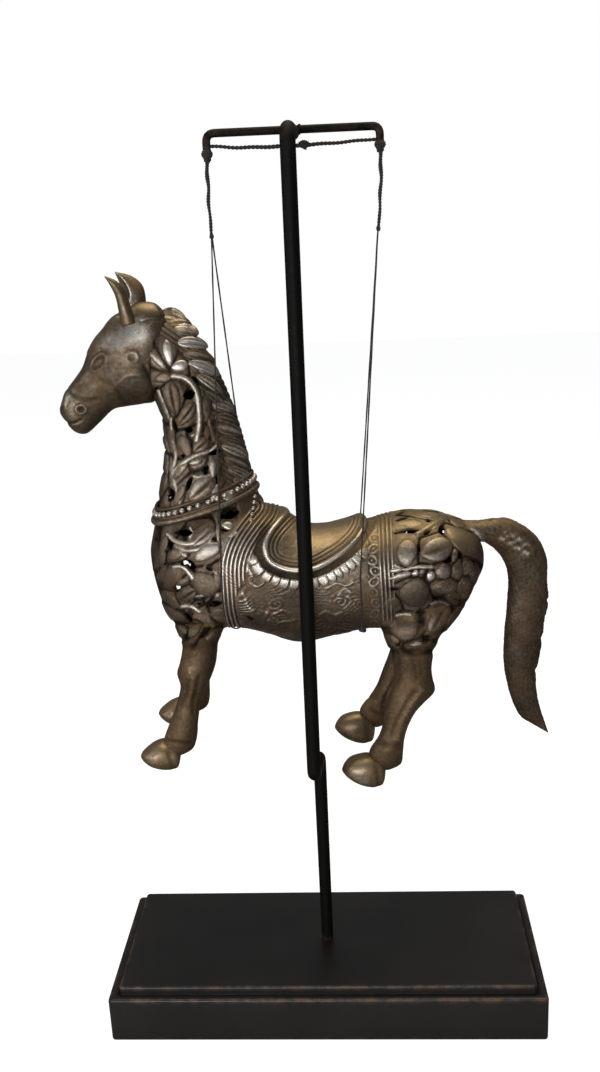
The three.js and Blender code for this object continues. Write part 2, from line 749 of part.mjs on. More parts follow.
function roundedBox(x0, x1, y0, y1, corner, levels) {
  const rings = levels.map(([z, inset]) => {
    const loop = [];
    const steps = 2;
    const r = Math.max(corner - inset, 0.4);
    const corners = [
      [x1 - inset - r, y1 - inset - r, 0],
      [x0 + inset + r, y1 - inset - r, 1],
      [x0 + inset + r, y0 + inset + r, 2],
      [x1 - inset - r, y0 + inset + r, 3],
    ];
    for (const [cx, cy, quarter] of corners) {
      for (let k = 0; k <= steps; k += 1) {
        const angle = ((quarter + k / steps) * Math.PI) / 2;
        loop.push([cx + r * Math.cos(angle), cy + r * Math.sin(angle), z]);
      }
    }
    return loop;
  });
  return skin(rings);
}

function baseSolid() {
  const halfX = BASE_LENGTH / 2;
  const halfY = BASE_DEPTH / 2;
  const block = roundedBox(-halfX, halfX, -halfY, halfY, 2.5, [
    [0, 1.2], [1.2, 0], [BASE_HEIGHT - 1.6, 0], [BASE_HEIGHT - 0.5, 0.45], [BASE_HEIGHT, 1.5],
  ]);
  const panel = roundedBox(
    -halfX + PANEL_INSET_SIDE, halfX - PANEL_INSET_SIDE,
    -halfY + PANEL_INSET_FRONT, halfY - PANEL_INSET_BACK, 2.5,
    [[BASE_HEIGHT - 6, 0], [PANEL_TOP - 0.8, 0], [PANEL_TOP, 0.8]],
  );
  const socket = tube([[0, 0, PANEL_TOP - ROD_SOCKET_DEPTH], [0, 0, PANEL_TOP + 5]], LOWER_ROD_R + FIT_GAP, 16);
  return join([block, panel]).subtract(socket);
}

function tieSolid(knots) {
  const left = BAR_LEFT + 2.9;
  const right = BAR_RIGHT - 2.9;
  const cord = tube([
    [left, 0, TIE_Z + 1.2], [lerp(left, right, 0.2), 0, TIE_Z - 0.2], [lerp(left, right, 0.45), 0, TIE_Z - 0.4],
    [lerp(left, right, 0.6), 0, TIE_Z - 0.3], [lerp(left, right, 0.8), 0, TIE_Z + 0.3], [right, 0, TIE_Z + 1.2],
  ], TIE_R, 6);
  const lash = ball([6.8, 0, TIE_Z + 0.2], 2, 6, 1.5);
  return join([cord, lash]).subtract(join(knots));
}

function meshOf(solid, name, material) {
  const parts = solid.decompose();
  const body = parts.reduce((best, part) => (part.volume() > best.volume() ? part : best), parts[0]);
  const mesh = body.getMesh();
  const count = mesh.vertProperties.length / mesh.numProp;
  const position = new Float32Array(count * 3);
  for (let i = 0; i < count; i += 1) {
    for (let j = 0; j < 3; j += 1) {
      position[i * 3 + j] = mesh.vertProperties[i * mesh.numProp + j];
    }
  }
  const geometry = new THREE.BufferGeometry();
  geometry.setAttribute('position', new THREE.BufferAttribute(position, 3));
  geometry.setIndex(Array.from(mesh.triVerts));
  const out = new THREE.Mesh(geometry, material);
  out.name = name;
  console.log(name, 'triangles', mesh.triVerts.length / 3, 'pieces', parts.length, 'mm3', Math.round(body.volume()));
  return out;
}

const horse = horseSolid();
const leftKnotZ = BAR_Z - BAR_DROP_LEFT - 1;
const rightKnotZ = BAR_Z - BAR_DROP_RIGHT - 1;
const front = hangingCord(horse, FRONT_NEAR_X, FRONT_FAR_X, FRONT_SPLIT_X, BAR_LEFT, leftKnotZ, -0.7, false);
const rear = hangingCord(horse, REAR_NEAR_X, REAR_FAR_X, REAR_SPLIT_X, BAR_RIGHT, rightKnotZ, 1.3, true);
const bar = barSolid();
const barClear = tube(rounded([
  [BAR_LEFT, 0, BAR_Z - BAR_DROP_LEFT - 0.3], [BAR_LEFT, 0, BAR_Z], [BAR_RIGHT, 0, BAR_Z],
  [BAR_RIGHT, 0, BAR_Z - BAR_DROP_RIGHT - 0.3],
], BAR_BEND, 5), BAR_R + FIT_GAP, 10);
const frontCord = front.subtract(barClear);
const rearCord = rear.subtract(barClear);
const knotClear = [
  ball([BAR_LEFT, 0, leftKnotZ], 3 + FIT_GAP, 8, 1.15),
  ball([BAR_RIGHT, 0, rightKnotZ], 3 + FIT_GAP, 8, 1.15),
];

const group = new THREE.Group();
group.add(meshOf(baseSolid(), 'base', materials.wood));
group.add(meshOf(postSolid(), 'post', materials.steel));
group.add(meshOf(toWorld(bar), 'crossbar', materials.steel));
group.add(meshOf(toWorld(tieSolid(knotClear)), 'tie_cord', materials.cord));
group.add(meshOf(toWorld(frontCord), 'front_cord', materials.cord));
group.add(meshOf(toWorld(rearCord), 'rear_cord', materials.cord));
group.add(meshOf(toWorld(horse), 'horse', materials.bronze));

export default group;
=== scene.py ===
"""Looks of a cast-metal horse slung by cords from a bent steel stand on a black wood base.

Lengths are in millimetres in the shape functions and go into the meshes in metres.
The horse faces -X. Its own plane, the cords and the crossbar are turned a little about Z.
"""

import math

import bpy
import numpy as np
from mathutils import Matrix


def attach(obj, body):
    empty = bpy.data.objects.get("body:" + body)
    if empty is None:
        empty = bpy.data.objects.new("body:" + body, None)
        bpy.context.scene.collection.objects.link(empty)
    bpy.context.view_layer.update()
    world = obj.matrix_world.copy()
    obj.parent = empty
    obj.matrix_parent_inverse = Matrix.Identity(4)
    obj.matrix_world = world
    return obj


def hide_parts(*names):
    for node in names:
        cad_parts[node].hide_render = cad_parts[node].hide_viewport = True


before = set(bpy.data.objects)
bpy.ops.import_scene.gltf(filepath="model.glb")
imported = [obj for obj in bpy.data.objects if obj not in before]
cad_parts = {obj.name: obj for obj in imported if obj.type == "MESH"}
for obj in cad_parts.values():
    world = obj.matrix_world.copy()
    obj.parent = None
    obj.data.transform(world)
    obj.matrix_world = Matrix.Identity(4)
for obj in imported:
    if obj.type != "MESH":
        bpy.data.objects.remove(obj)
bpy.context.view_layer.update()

MM = 0.001

# Camera, in the photograph's place
CAM_AT = np.array([36.13, -664.49, 545.79])
CAM_TURN = math.radians(3.642)
CAM_DOWN = math.radians(16.806)
CAM_ROLL = math.radians(-2.738)
CAM_FOCAL_PX = 1075.68
PHOTO_HEIGHT_PX = 1072
SENSOR = 36.0

# Base block and its raised panel
BASE_LENGTH = 300
BASE_DEPTH = 117
BASE_HEIGHT = 33.2
PANEL_RISE = 5.6
PANEL_TOP = BASE_HEIGHT + PANEL_RISE
PANEL_SIDE = 7
PANEL_FRONT = 5.9
PANEL_BACK = 3.6

# Bent rod, crossbar and cords
LOWER_ROD_R = 4.1
UPPER_ROD_R = 4.5
ROD_FOOT_Z = 17.4
JOG_Y = -37.5
UPRIGHT_LOW_X = -2
UPRIGHT_HIGH_X = -0.2
JOG_BACK_Z = 186.9
JOG_FRONT_Z = 191
ROD_TOP_Z = 589.6
ROD_BEND = 7.5
YAW = math.radians(5.5)
HORSE_Y = 3
BAR_Z = 591.2
BAR_R = 2.4
BAR_LEFT = -50
BAR_RIGHT = 51.6
BAR_DROP_LEFT = 10.4
BAR_DROP_RIGHT = 9.2
BAR_BEND = 5
TIE_R = 1.15
TIE_Z = 582.8
WRAP_R = 1.3
SPLIT_Z = 536
STRING_R = 0.5
STRING_GAP = 0.5
BELLY_LOW = 262

# Knots and lashings: radius, height, turns, thread
BAR_KNOT = (2.7, 4.4, 4.5, 0.85)
BAR_HITCH = (1.7, 2.0, 2.2, 0.7)
SPLIT_KNOT = (1.0, 2.4, 3, 0.5)
BELLY_KNOT = (2.0, 2.6, 3.5, 0.75)
BELLY_HITCH = (1.2, 1.8, 2.5, 0.6)
LASHING = (1.9, 5.0, 5, 0.62)
LASHING_KNOT = (0.9, 2.0, 2, 0.5)

# Stations of the trunk from poll to rump: chest-side x z, back-side x z, half width, narrowing along the back
BODY = np.array([
    [-112, 478, -86, 490, 9, 0.1],
    [-101, 453, -68, 480, 11.5, 0.15],
    [-91.5, 434, -54.5, 459, 13.5, 0.2],
    [-88.4, 415, -44.5, 433, 15, 0.22],
    [-90.2, 398, -38.5, 408, 17, 0.22],
    [-95, 378, -34.5, 386, 20.5, 0.2],
    [-99.5, 358, -28, 367, 25, 0.15],
    [-104, 337, -18, 363.3, 29.5, 0.1],
    [-102, 316, -10.5, 357.8, 32, 0.06],
    [-96, 297, -4, 353.4, 33.5, 0.03],
    [-84, 287, 1, 351, 34, 0],
    [-60, 288, 5, 350, 34, 0],
    [-37, 283, 9.5, 350, 34, 0],
    [-12, 273.6, 14.5, 350.6, 33.5, 0],
    [12, 276.6, 23, 352.4, 33.5, 0],
    [29, 279.4, 32, 354.4, 33.5, 0],
    [42, 281, 40, 352, 33.5, 0],
    [54, 282, 56, 355, 34, 0],
    [68, 284.5, 72, 355.6, 34.5, 0],
    [84, 289.5, 87, 352.5, 32.5, 0],
    [97, 297, 99, 347.3, 27, 0],
    [106, 305, 107, 341, 19, 0],
    [111.5, 314, 112, 332, 9.5, 0],
    [113.3, 321.5, 113.3, 324.5, 1.2, 0],
])
TRUNK_SQUARE = 2.25
HEAD_SQUARE = 2.1
HOOF_SQUARE = 2.3
COLLAR_STATION = 5.575
COLLAR_TILT = 0.275
BREAST_STATION = 11.5
SPLIT_STATION = 16
LAST_STATION = 23

# Casting: how far its edges turn in at the piercings, depth of the inner face, size of a mesh cell, and the
# distance given to places that have no piercing near
WALL = 2.6
LINING_DEPTH = 2.5
CELL = 0.65
FAR_OFF = 1e3

# Stations of the head from muzzle to poll: jaw-side x z, face-side x z, half width
HEAD = np.array([
    [-151.0, 431.5, -151.2, 436, 2.4, 0],
    [-147.6, 425.6, -149.6, 440, 6, 0],
    [-142.8, 420, -147, 445.7, 8.5, 0],
    [-136, 419, -141.3, 452.2, 9.3, 0],
    [-127.4, 425.6, -135, 460, 9.8, 0],
    [-118.5, 433, -131, 468.5, 11.3, 0],
    [-110, 434.6, -126, 476.5, 13, 0],
    [-100, 435.8, -120, 482.7, 14.3, 0],
    [-91.5, 437.8, -113.5, 489.3, 14, 0],
    [-85, 453, -105, 494.2, 12.3, 0],
    [-81, 467, -96, 497.4, 10.3, 0],
    [-79, 479, -88, 496.5, 7, 0],
    [-80, 486, -83, 492, 2.5, 0],
])

# Legs: front x z, back x z, half width, distance from the middle plane
FORELEG = np.array([
    [-92, 306, -52, 306, 8, 20],
    [-89, 294, -57.5, 296, 9.5, 24.5],
    [-86.2, 282, -62.8, 282, 9.4, 27],
    [-88, 272.5, -64.8, 272, 9, 28.3],
    [-90.2, 265.5, -67.3, 265, 8.5, 29],
    [-88.8, 257, -71.3, 256.5, 7.4, 29.5],
    [-91, 248, -76.3, 247, 6.5, 30],
    [-94.2, 239, -78.2, 237.5, 6.4, 30.4],
    [-98.3, 230.2, -80, 228, 6.9, 30.7],
    [-101.8, 222, -81.2, 219, 7.8, 31],
    [-103.5, 216.5, -84.3, 212.7, 7.2, 31],
    [-104, 211, -93, 209, 6.0, 31],
])
FORE_HOOF = np.array([
    [-92.4, 208.5, -92.2, 211, 2.5, 31],
    [-93, 204.5, -92, 214, 6.5, 31],
    [-95.5, 200.4, -97, 218, 8.6, 31],
    [-100, 199.6, -103, 220, 9.6, 31],
    [-106, 200.6, -109, 218, 9.8, 31],
    [-111.5, 203, -114, 214.5, 8.4, 31],
    [-116, 206.4, -117, 212, 5, 31],
    [-118.1, 209, -118.2, 210, 1.2, 31],
])
HINDLEG = np.array([
    [50, 316, 99, 320, 4, 14],
    [38, 302, 103, 305, 10, 18],
    [41, 288.5, 95, 294, 12, 22],
    [44.3, 277, 83.4, 281.5, 11.5, 25.5],
    [47.3, 269, 76.4, 270.5, 10.3, 27.3],
    [49.4, 259, 74, 259.5, 9.3, 28.3],
    [48.6, 250, 74.4, 251.5, 8.8, 29],
    [46.2, 241.8, 75.6, 243, 8.4, 29.5],
    [44.4, 236, 69.6, 236.5, 7.8, 30],
    [42.4, 229.5, 63.1, 229.5, 7.3, 30.3],
    [41, 221, 58.2, 220.5, 7, 30.6],
    [38, 212.5, 55.2, 211.5, 7, 31],
    [33, 205, 54, 202.5, 7.8, 31],
    [31.5, 200.5, 53.3, 194.5, 8, 31],
    [34, 195.5, 51.3, 191.8, 7, 31],
    [36, 191.5, 46, 189.5, 5, 31],
])
HIND_HOOF = np.array([
    [41.3, 186, 41.4, 189.5, 2.5, 31],
    [40.5, 181.5, 41.5, 193.5, 6.5, 31],
    [38.2, 178, 37, 198, 8.6, 31],
    [33.2, 177, 31, 200.2, 9.6, 31],
    [27, 178.6, 25, 199.7, 9.8, 31],
    [21, 181.8, 19, 197.7, 8.8, 31],
    [16, 185.8, 15, 193.8, 5.6, 31],
    [13.2, 189.2, 13.1, 190.3, 1.2, 31],
])
FAR_FORE_SHIFT = np.array([0, 0, 0, 0, 0.5, 2, 3.5, 4.8, 6, 6.5, 6.8, 6.8])
FAR_HIND_SHIFT = np.array([0, 0, 1.5, 4, 6, 6.5, 6, 5.8, 5.4, 5, 3.2, 1, 0, 0, 0, 0])

# Tail: inner x z, outer x z, half width
TAIL = np.array([
    [97, 337, 91.5, 350.2, 5.5, 0],
    [103.5, 333.6, 101, 348.4, 6.6, 0],
    [112.5, 333.3, 111.5, 347.6, 7.2, 0],
    [118.5, 329.7, 119.5, 348.3, 7.6, 0],
    [123.8, 324.2, 130.3, 347.6, 8, 0],
    [127.4, 318, 141.5, 341.3, 8.4, 0],
    [129.7, 311, 150.5, 332, 8.6, 0],
    [130.4, 302, 155.6, 319, 8.6, 0],
    [129.8, 291, 156.2, 303, 8.6, 0],
    [129, 279, 157.6, 289, 8.5, 0],
    [128, 266, 155, 277, 8.4, 0],
    [127.6, 253, 154, 264, 8.2, 0],
    [128.5, 240, 152, 250, 8, 0],
    [131, 228, 150, 236.5, 7.4, 0],
    [134, 217, 150.6, 224, 6.4, 0],
    [139.3, 206, 153, 212, 5, 0],
    [147, 199.8, 156.2, 202, 3.2, 0],
    [158.4, 191.8, 159.6, 191.4, 0.5, 0],
])

# Ears, near and far: front x z, back x z, half width, distance from the middle plane
EAR_NEAR = np.array([
    [-107.8, 484, -98.5, 486, 4.0, 8],
    [-108.9, 496, -101.8, 498.5, 4.0, 9],
    [-110.1, 503, -104, 506, 3.4, 10],
    [-112.4, 509, -108.3, 511.3, 2.1, 10.8],
    [-114.9, 514, -114.6, 514.2, 0.4, 11.2],
])
EAR_FAR = np.array([
    [-107.5, 484, -94, 487, 4.5, 8],
    [-107.6, 496, -93.5, 499, 5, 9],
    [-108.6, 504, -95.2, 507, 4.4, 10],
    [-110, 510, -101.5, 512.6, 2.8, 10.8],
    [-111.3, 515.3, -110.9, 515.4, 0.4, 11.2],
])

# Mane locks in the side view: thick end x z, thin end x z, half width, tone and painted light (silvered tone
# with painted highlight, darker when negative)
LOCKS = np.array([
    [-85, 489.6, -69.5, 485, 4.0, 0.05],
    [-80, 484.5, -66, 481.5, 3.0, -0.02],
    [-77, 480.8, -62.5, 476.6, 3.5, 0.3],
    [-75.5, 472, -57.5, 468.4, 3.6, 0.45],
    [-72.5, 465, -54, 459.6, 3.0, 0.0],
    [-69.5, 459.5, -51.6, 450.6, 3.7, 0.45],
    [-65.5, 451.5, -50, 438, 3.2, 0.3],
    [-60.5, 441.5, -47, 429, 3.2, -0.05],
    [-57, 433.5, -43.6, 427.5, 4.0, 0.28],
    [-56, 425, -42, 419.6, 3.3, 0.0],
    [-55.5, 418.5, -40, 412.5, 3.7, 0.2],
    [-54, 411.5, -39, 404.6, 3.3, -0.05],
    [-53, 406.5, -36.8, 397.6, 3.8, 0.22],
    [-51.5, 398.6, -35.6, 389.6, 3.5, -0.06],
    [-49.5, 391.5, -34.6, 382.2, 3.5, 0.05],
    [-47, 384.5, -33.4, 376.4, 3.2, 0.0],
])

# Saddle rim down the flank: x z
SADDLE_RIM = np.array([
    [-9, 374], [-15, 368.5], [-21, 362.5], [-26, 356.5], [-29, 350], [-29, 343], [-26.5, 337.5],
    [-21, 333.6], [-13, 331], [-4, 330.6], [4, 332.4], [12, 336.6], [20, 341.8], [26, 347.2],
    [29.6, 351.6], [33, 358], [35.5, 366],
])


# Shape helpers

def catmull(rows, at):
    """Rows of a table at fractional places, on the Catmull-Rom curve through the rows."""
    last = len(rows) - 1
    k = np.clip(np.floor(at).astype(int), 0, last - 1)
    t = (at - k)[:, None]
    a, b = rows[np.maximum(k - 1, 0)], rows[k]
    c, d = rows[k + 1], rows[np.minimum(k + 2, last)]
    square, cube = 2 * a - 5 * b + 4 * c - d, 3 * b - a - 3 * c + d
    return 0.5 * (2 * b + (c - a) * t + square * t ** 2 + cube * t ** 3)


def even_places(rows, start, end, count):
    """Places along a station table, evenly spaced by the distance that the middle of the stations travels."""
    fine = np.linspace(start, end, 800)
    at = catmull(rows, fine)
    middle = (at[:, 0:2] + at[:, 2:4]) / 2
    sides = [np.hypot(*np.diff(at[:, k:k + 2], axis=0).T) for k in (0, 2)]
    step = 0.4 * np.hypot(*np.diff(middle, axis=0).T) + 0.6 * np.maximum(*sides)
    travelled = np.concatenate([[0], np.cumsum(step)])
    return np.interp(np.linspace(0, travelled[-1], count), travelled, fine)


def ring_turns(count):
    """Turns of a ring's columns."""
    return np.arange(count) * 2 * np.pi / count


def squarish(turn, square):
    """Cosine and sine of a turn raised to 2/square with their signs kept."""
    c, s = np.cos(turn), np.sin(turn)
    return np.sign(c) * np.abs(c) ** (2 / square), np.sign(s) * np.abs(s) ** (2 / square)


def loft(rows, places, sides, square, side=0):
    """Grid of points: at each place the ring is (a+b)/2 + (b-a)/2*c in the side view and half*s*(1-egg*c)
    across, where c and s are the squarish cosine and sine of the turn."""
    at = catmull(rows, places)
    c, s = squarish(ring_turns(sides), square)
    near, far = at[:, 0:2], at[:, 2:4]
    side_view = ((near + far) / 2)[:, None, :] + ((far - near) / 2)[:, None, :] * c[None, :, None]
    egg = at[:, 5:6] if side == 0 else 0.0
    across = side * at[:, 5:6] + at[:, 4:5] * s[None, :] * (1 - egg * c[None, :])
    return np.stack([side_view[..., 0], across, side_view[..., 1]], -1)


def to_world(points):
    """Points of the horse's own plane, turned by the yaw and set at its distance."""
    c, s = math.cos(YAW), math.sin(YAW)
    x, y, z = points[..., 0], points[..., 1], points[..., 2]
    return np.stack([c * x - s * y, s * x + c * y + HORSE_Y, z], -1)


def grid_faces(rows, columns):
    """Quads of a grid closed around."""
    i = np.arange(rows - 1)[:, None]
    j = np.arange(columns)[None, :]
    a = i * columns + j
    b = i * columns + (j + 1) % columns
    return np.stack([a, b, b + columns, a + columns], -1).reshape(-1, 4)


def grid_normals(grid):
    """Unit normals of a grid closed around: the cross product of its two central differences."""
    along = np.gradient(grid, axis=0)
    over = (np.roll(grid, -1, axis=1) - np.roll(grid, 1, axis=1)) / 2
    n = np.cross(over, along)
    length = np.linalg.norm(n, axis=-1, keepdims=True)
    return n / np.maximum(length, 1e-9)


def volume_of(verts, quads):
    """Volume between the quads and the middle of their points, negative where they face inwards."""
    a, b, c, d = (verts[quads[:, k]] - verts.mean(0) for k in range(4))
    return (np.einsum("ij,ij->i", a, np.cross(b, c)) + np.einsum("ij,ij->i", a, np.cross(c, d))).sum() / 6


def make_piece(name, verts, faces, material, marks=None):
    """A mesh object from points in millimetres and faces, with its float marks on the points."""
    mesh = bpy.data.meshes.new(name)
    mesh.from_pydata((verts * MM).tolist(), [], [list(f) for group in faces for f in group.tolist()])
    mesh.polygons.foreach_set("use_smooth", np.full(len(mesh.polygons), True))
    for key, values in (marks or {}).items():
        store = mesh.attributes.new(key, "FLOAT", "POINT")
        store.data.foreach_set("value", np.asarray(values, np.float32).ravel())
    mesh.materials.append(material)
    mesh.update()
    piece = bpy.data.objects.new(name, mesh)
    bpy.context.scene.collection.objects.link(piece)
    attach(piece, "root")
    return piece


def closed_skin(grid):
    """Points and faces of a grid closed around and capped at both ends by a fan to the middle of the end
    ring."""
    rows, columns = grid.shape[:2]
    flat = grid.reshape(-1, 3)
    verts = np.concatenate([flat, grid[0].mean(0)[None], grid[-1].mean(0)[None]])
    quads = grid_faces(rows, columns)
    k = np.arange(columns)
    after = (k + 1) % columns
    first = np.stack([np.full(columns, rows * columns), after, k], -1)
    base = (rows - 1) * columns
    last = np.stack([np.full(columns, rows * columns + 1), base + k, base + after], -1)
    if volume_of(verts, quads) < 0:
        quads, first, last = quads[:, ::-1], first[:, ::-1], last[:, ::-1]
    return verts, quads, np.concatenate([first, last])


def ends_too(values):
    """Marks of a closed skin: the grid's values and those of its two cap points."""
    return np.concatenate([values.ravel(), [values[0].mean(), values[-1].mean()]])


def merged(parts):
    """Several skins as one: points, quads, triangles and marks joined with their numbers moved on."""
    verts, quads, tris, marks, count = [], [], [], {}, 0
    for part_verts, part_quads, part_tris, part_marks in parts:
        verts.append(part_verts)
        quads.append(part_quads + count)
        tris.append(part_tris + count)
        for key, values in part_marks.items():
            marks.setdefault(key, []).append(values)
        count += len(part_verts)
    joined = {key: np.concatenate(values) for key, values in marks.items()}
    return np.concatenate(verts), np.concatenate(quads), np.concatenate(tris), joined


def path_frames(points):
    """Tangent, normal and side vectors along a path, the normal carried on without twist."""
    tangents = np.gradient(points, axis=0)
    tangents /= np.linalg.norm(tangents, axis=1, keepdims=True)
    normal = np.cross([0.31, 0.87, 0.13], tangents[0])
    normals = np.zeros_like(points)
    for i, t in enumerate(tangents):
        normal = normal - normal.dot(t) * t
        normal = normal / np.linalg.norm(normal)
        normals[i] = normal
    return tangents, normals, np.cross(tangents, normals)


def tube_grid(points, radius, sides, ripple=None):
    """Circle of a radius carried along a path. Ripple adds to the radius by fraction along and turn."""
    _, normals, others = path_frames(points)
    turn = ring_turns(sides)
    radius = np.broadcast_to(radius, (len(points),))[:, None] * np.ones(sides)
    if ripple is not None:
        radius = radius + ripple(np.linspace(0, 1, len(points))[:, None], turn[None, :])
    c, s = np.cos(turn)[None, :, None], np.sin(turn)[None, :, None]
    ring = normals[:, None, :] * c + others[:, None, :] * s
    return points[:, None, :] + ring * radius[..., None]


def spaced(points, gap, closed=False):
    """A polyline resampled at an even gap."""
    line = np.concatenate([points, points[:1]]) if closed else points
    travelled = np.concatenate([[0], np.cumsum(np.linalg.norm(np.diff(line, axis=0), axis=1))])
    count = max(3, int(travelled[-1] / gap) + 1)
    at = np.linspace(0, travelled[-1], count)
    return np.stack([np.interp(at, travelled, line[:, k]) for k in range(3)], -1)


def rounded_path(points, bend, steps=10):
    """A polyline whose inner corners are quadratic arcs that start a bend's length before each corner."""
    points = np.asarray(points, float)
    out = [points[:1]]
    t = np.linspace(0, 1, steps)[:, None]
    for before, corner, after in zip(points[:-2], points[1:-1], points[2:]):
        back, on = before - corner, after - corner
        reach = min(bend, np.linalg.norm(back) * 0.49, np.linalg.norm(on) * 0.49)
        start = corner + back / np.linalg.norm(back) * reach
        end = corner + on / np.linalg.norm(on) * reach
        out.append((1 - t) ** 2 * start + 2 * t * (1 - t) * corner + t ** 2 * end)
    out.append(points[-1:])
    return np.concatenate(out)


def smooth_step(low, high, value):
    """From 0 at low to 1 at high, level at both ends; low may be the larger."""
    t = np.clip((value - low) / (high - low), 0, 1)
    return t * t * (3 - 2 * t)


def bump(distance, width):
    """A bell of unit height and the given half width."""
    return np.exp(-(distance / width) ** 2)


def laid(under, share, over):
    """One value laid over another by its share."""
    return under * (1 - share) + share * over


def value_noise(points, size, seed):
    """Smooth noise from -1 to 1: a few sine waves of random direction at about the given size."""
    rng = np.random.default_rng(seed)
    total = np.zeros(points.shape[:-1])
    for _ in range(7):
        way = rng.normal(size=3)
        way *= 2 * np.pi / (size * rng.uniform(0.7, 1.6)) / np.linalg.norm(way)
        total += np.sin(points @ way + rng.uniform(0, 6.28))
    return total / 4


# Camera, floor and light

def make_camera():
    """Camera turned to the left, tipped down and rolled, with its axes worked out from those three angles."""
    a, e, r = CAM_TURN, CAM_DOWN, CAM_ROLL
    ahead = np.array([-math.sin(a) * math.cos(e), math.cos(a) * math.cos(e), -math.sin(e)])
    level = np.array([math.cos(a), math.sin(a), 0.0])
    over = np.cross(level, ahead)
    right = math.cos(r) * level + math.sin(r) * over
    up = -math.sin(r) * level + math.cos(r) * over
    data = bpy.data.cameras.new("camera")
    data.sensor_width = SENSOR
    data.lens = SENSOR * CAM_FOCAL_PX / PHOTO_HEIGHT_PX
    data.clip_start = 0.02
    data.clip_end = 50
    camera = bpy.data.objects.new("camera", data)
    bpy.context.scene.collection.objects.link(camera)
    columns = np.stack([right, up, -ahead], 1)
    place = np.eye(4)
    place[:3, :3] = columns
    place[:3, 3] = CAM_AT * MM
    camera.matrix_world = Matrix(place.tolist())
    bpy.context.scene.camera = camera


def area_light(name, at, towards, size, power, colour):
    """Soft rectangular lamp that shines from one place towards another."""
    data = bpy.data.lights.new(name, "AREA")
    data.shape = "RECTANGLE"
    data.size, data.size_y = size
    data.energy = power
    data.color = colour
    lamp = bpy.data.objects.new(name, data)
    bpy.context.scene.collection.objects.link(lamp)
    way = np.array(at, float) - np.array(towards, float)
    z = way / np.linalg.norm(way)
    x = np.cross([0, 0, 1], z)
    x = x / np.linalg.norm(x) if np.linalg.norm(x) > 1e-6 else np.array([1.0, 0, 0])
    place = np.eye(4)
    place[:3, :3] = np.stack([x, np.cross(z, x), z], 1)
    place[:3, 3] = at
    lamp.matrix_world = Matrix(place.tolist())


def make_studio():
    """Pale floor, a white room for the eye and a dim one for the light, and three soft lamps."""
    bpy.ops.mesh.primitive_plane_add(size=8, location=(0, 0, 0))
    floor = bpy.context.object
    floor.name = "floor"
    floor.data.materials.append(floor_paint())
    world = bpy.data.worlds.new("studio")
    bpy.context.scene.world = world
    world.use_nodes = True
    tree = world.node_tree
    tree.nodes.clear()
    out = tree.nodes.new("ShaderNodeOutputWorld")
    seen = tree.nodes.new("ShaderNodeBackground")
    seen.inputs["Color"].default_value = (1, 1, 1, 1)
    seen.inputs["Strength"].default_value = 1.0
    lit = tree.nodes.new("ShaderNodeBackground")
    lit.inputs["Color"].default_value = (0.86, 0.9, 1, 1)
    lit.inputs["Strength"].default_value = 0.16
    pick = tree.nodes.new("ShaderNodeMixShader")
    ray = tree.nodes.new("ShaderNodeLightPath")
    tree.links.new(ray.outputs["Is Camera Ray"], pick.inputs[0])
    tree.links.new(lit.outputs[0], pick.inputs[1])
    tree.links.new(seen.outputs[0], pick.inputs[2])
    tree.links.new(pick.outputs[0], out.inputs[0])
    area_light("window", (-0.35, -1.6, 0.34), (0, 0, 0.36), (1.3, 0.42), 15, (0.95, 0.97, 1.0))
    area_light("fill", (-1.5, -0.7, 0.7), (0, 0, 0.4), (0.5, 0.9), 5, (0.97, 0.98, 1.0))
    area_light("ceiling", (0.1, 0.1, 1.7), (0, 0, 0.35), (1.2, 1.2), 15, (1.0, 0.9, 0.76))
    view = bpy.context.scene.view_settings
    view.view_transform = "Standard"
    view.look = "None"
    view.exposure = 0


# Materials

SILVERED = (0.70, 0.65, 0.57)
HOLLOW_BROWN = (0.012, 0.008, 0.005)
RUST_BROWN = (0.15, 0.088, 0.044)
# tan of the film on top, which also stands for painted warm top light on up-facing surfaces
TAN_FILM_AND_TOP_LIGHT = (0.34, 0.25, 0.13)


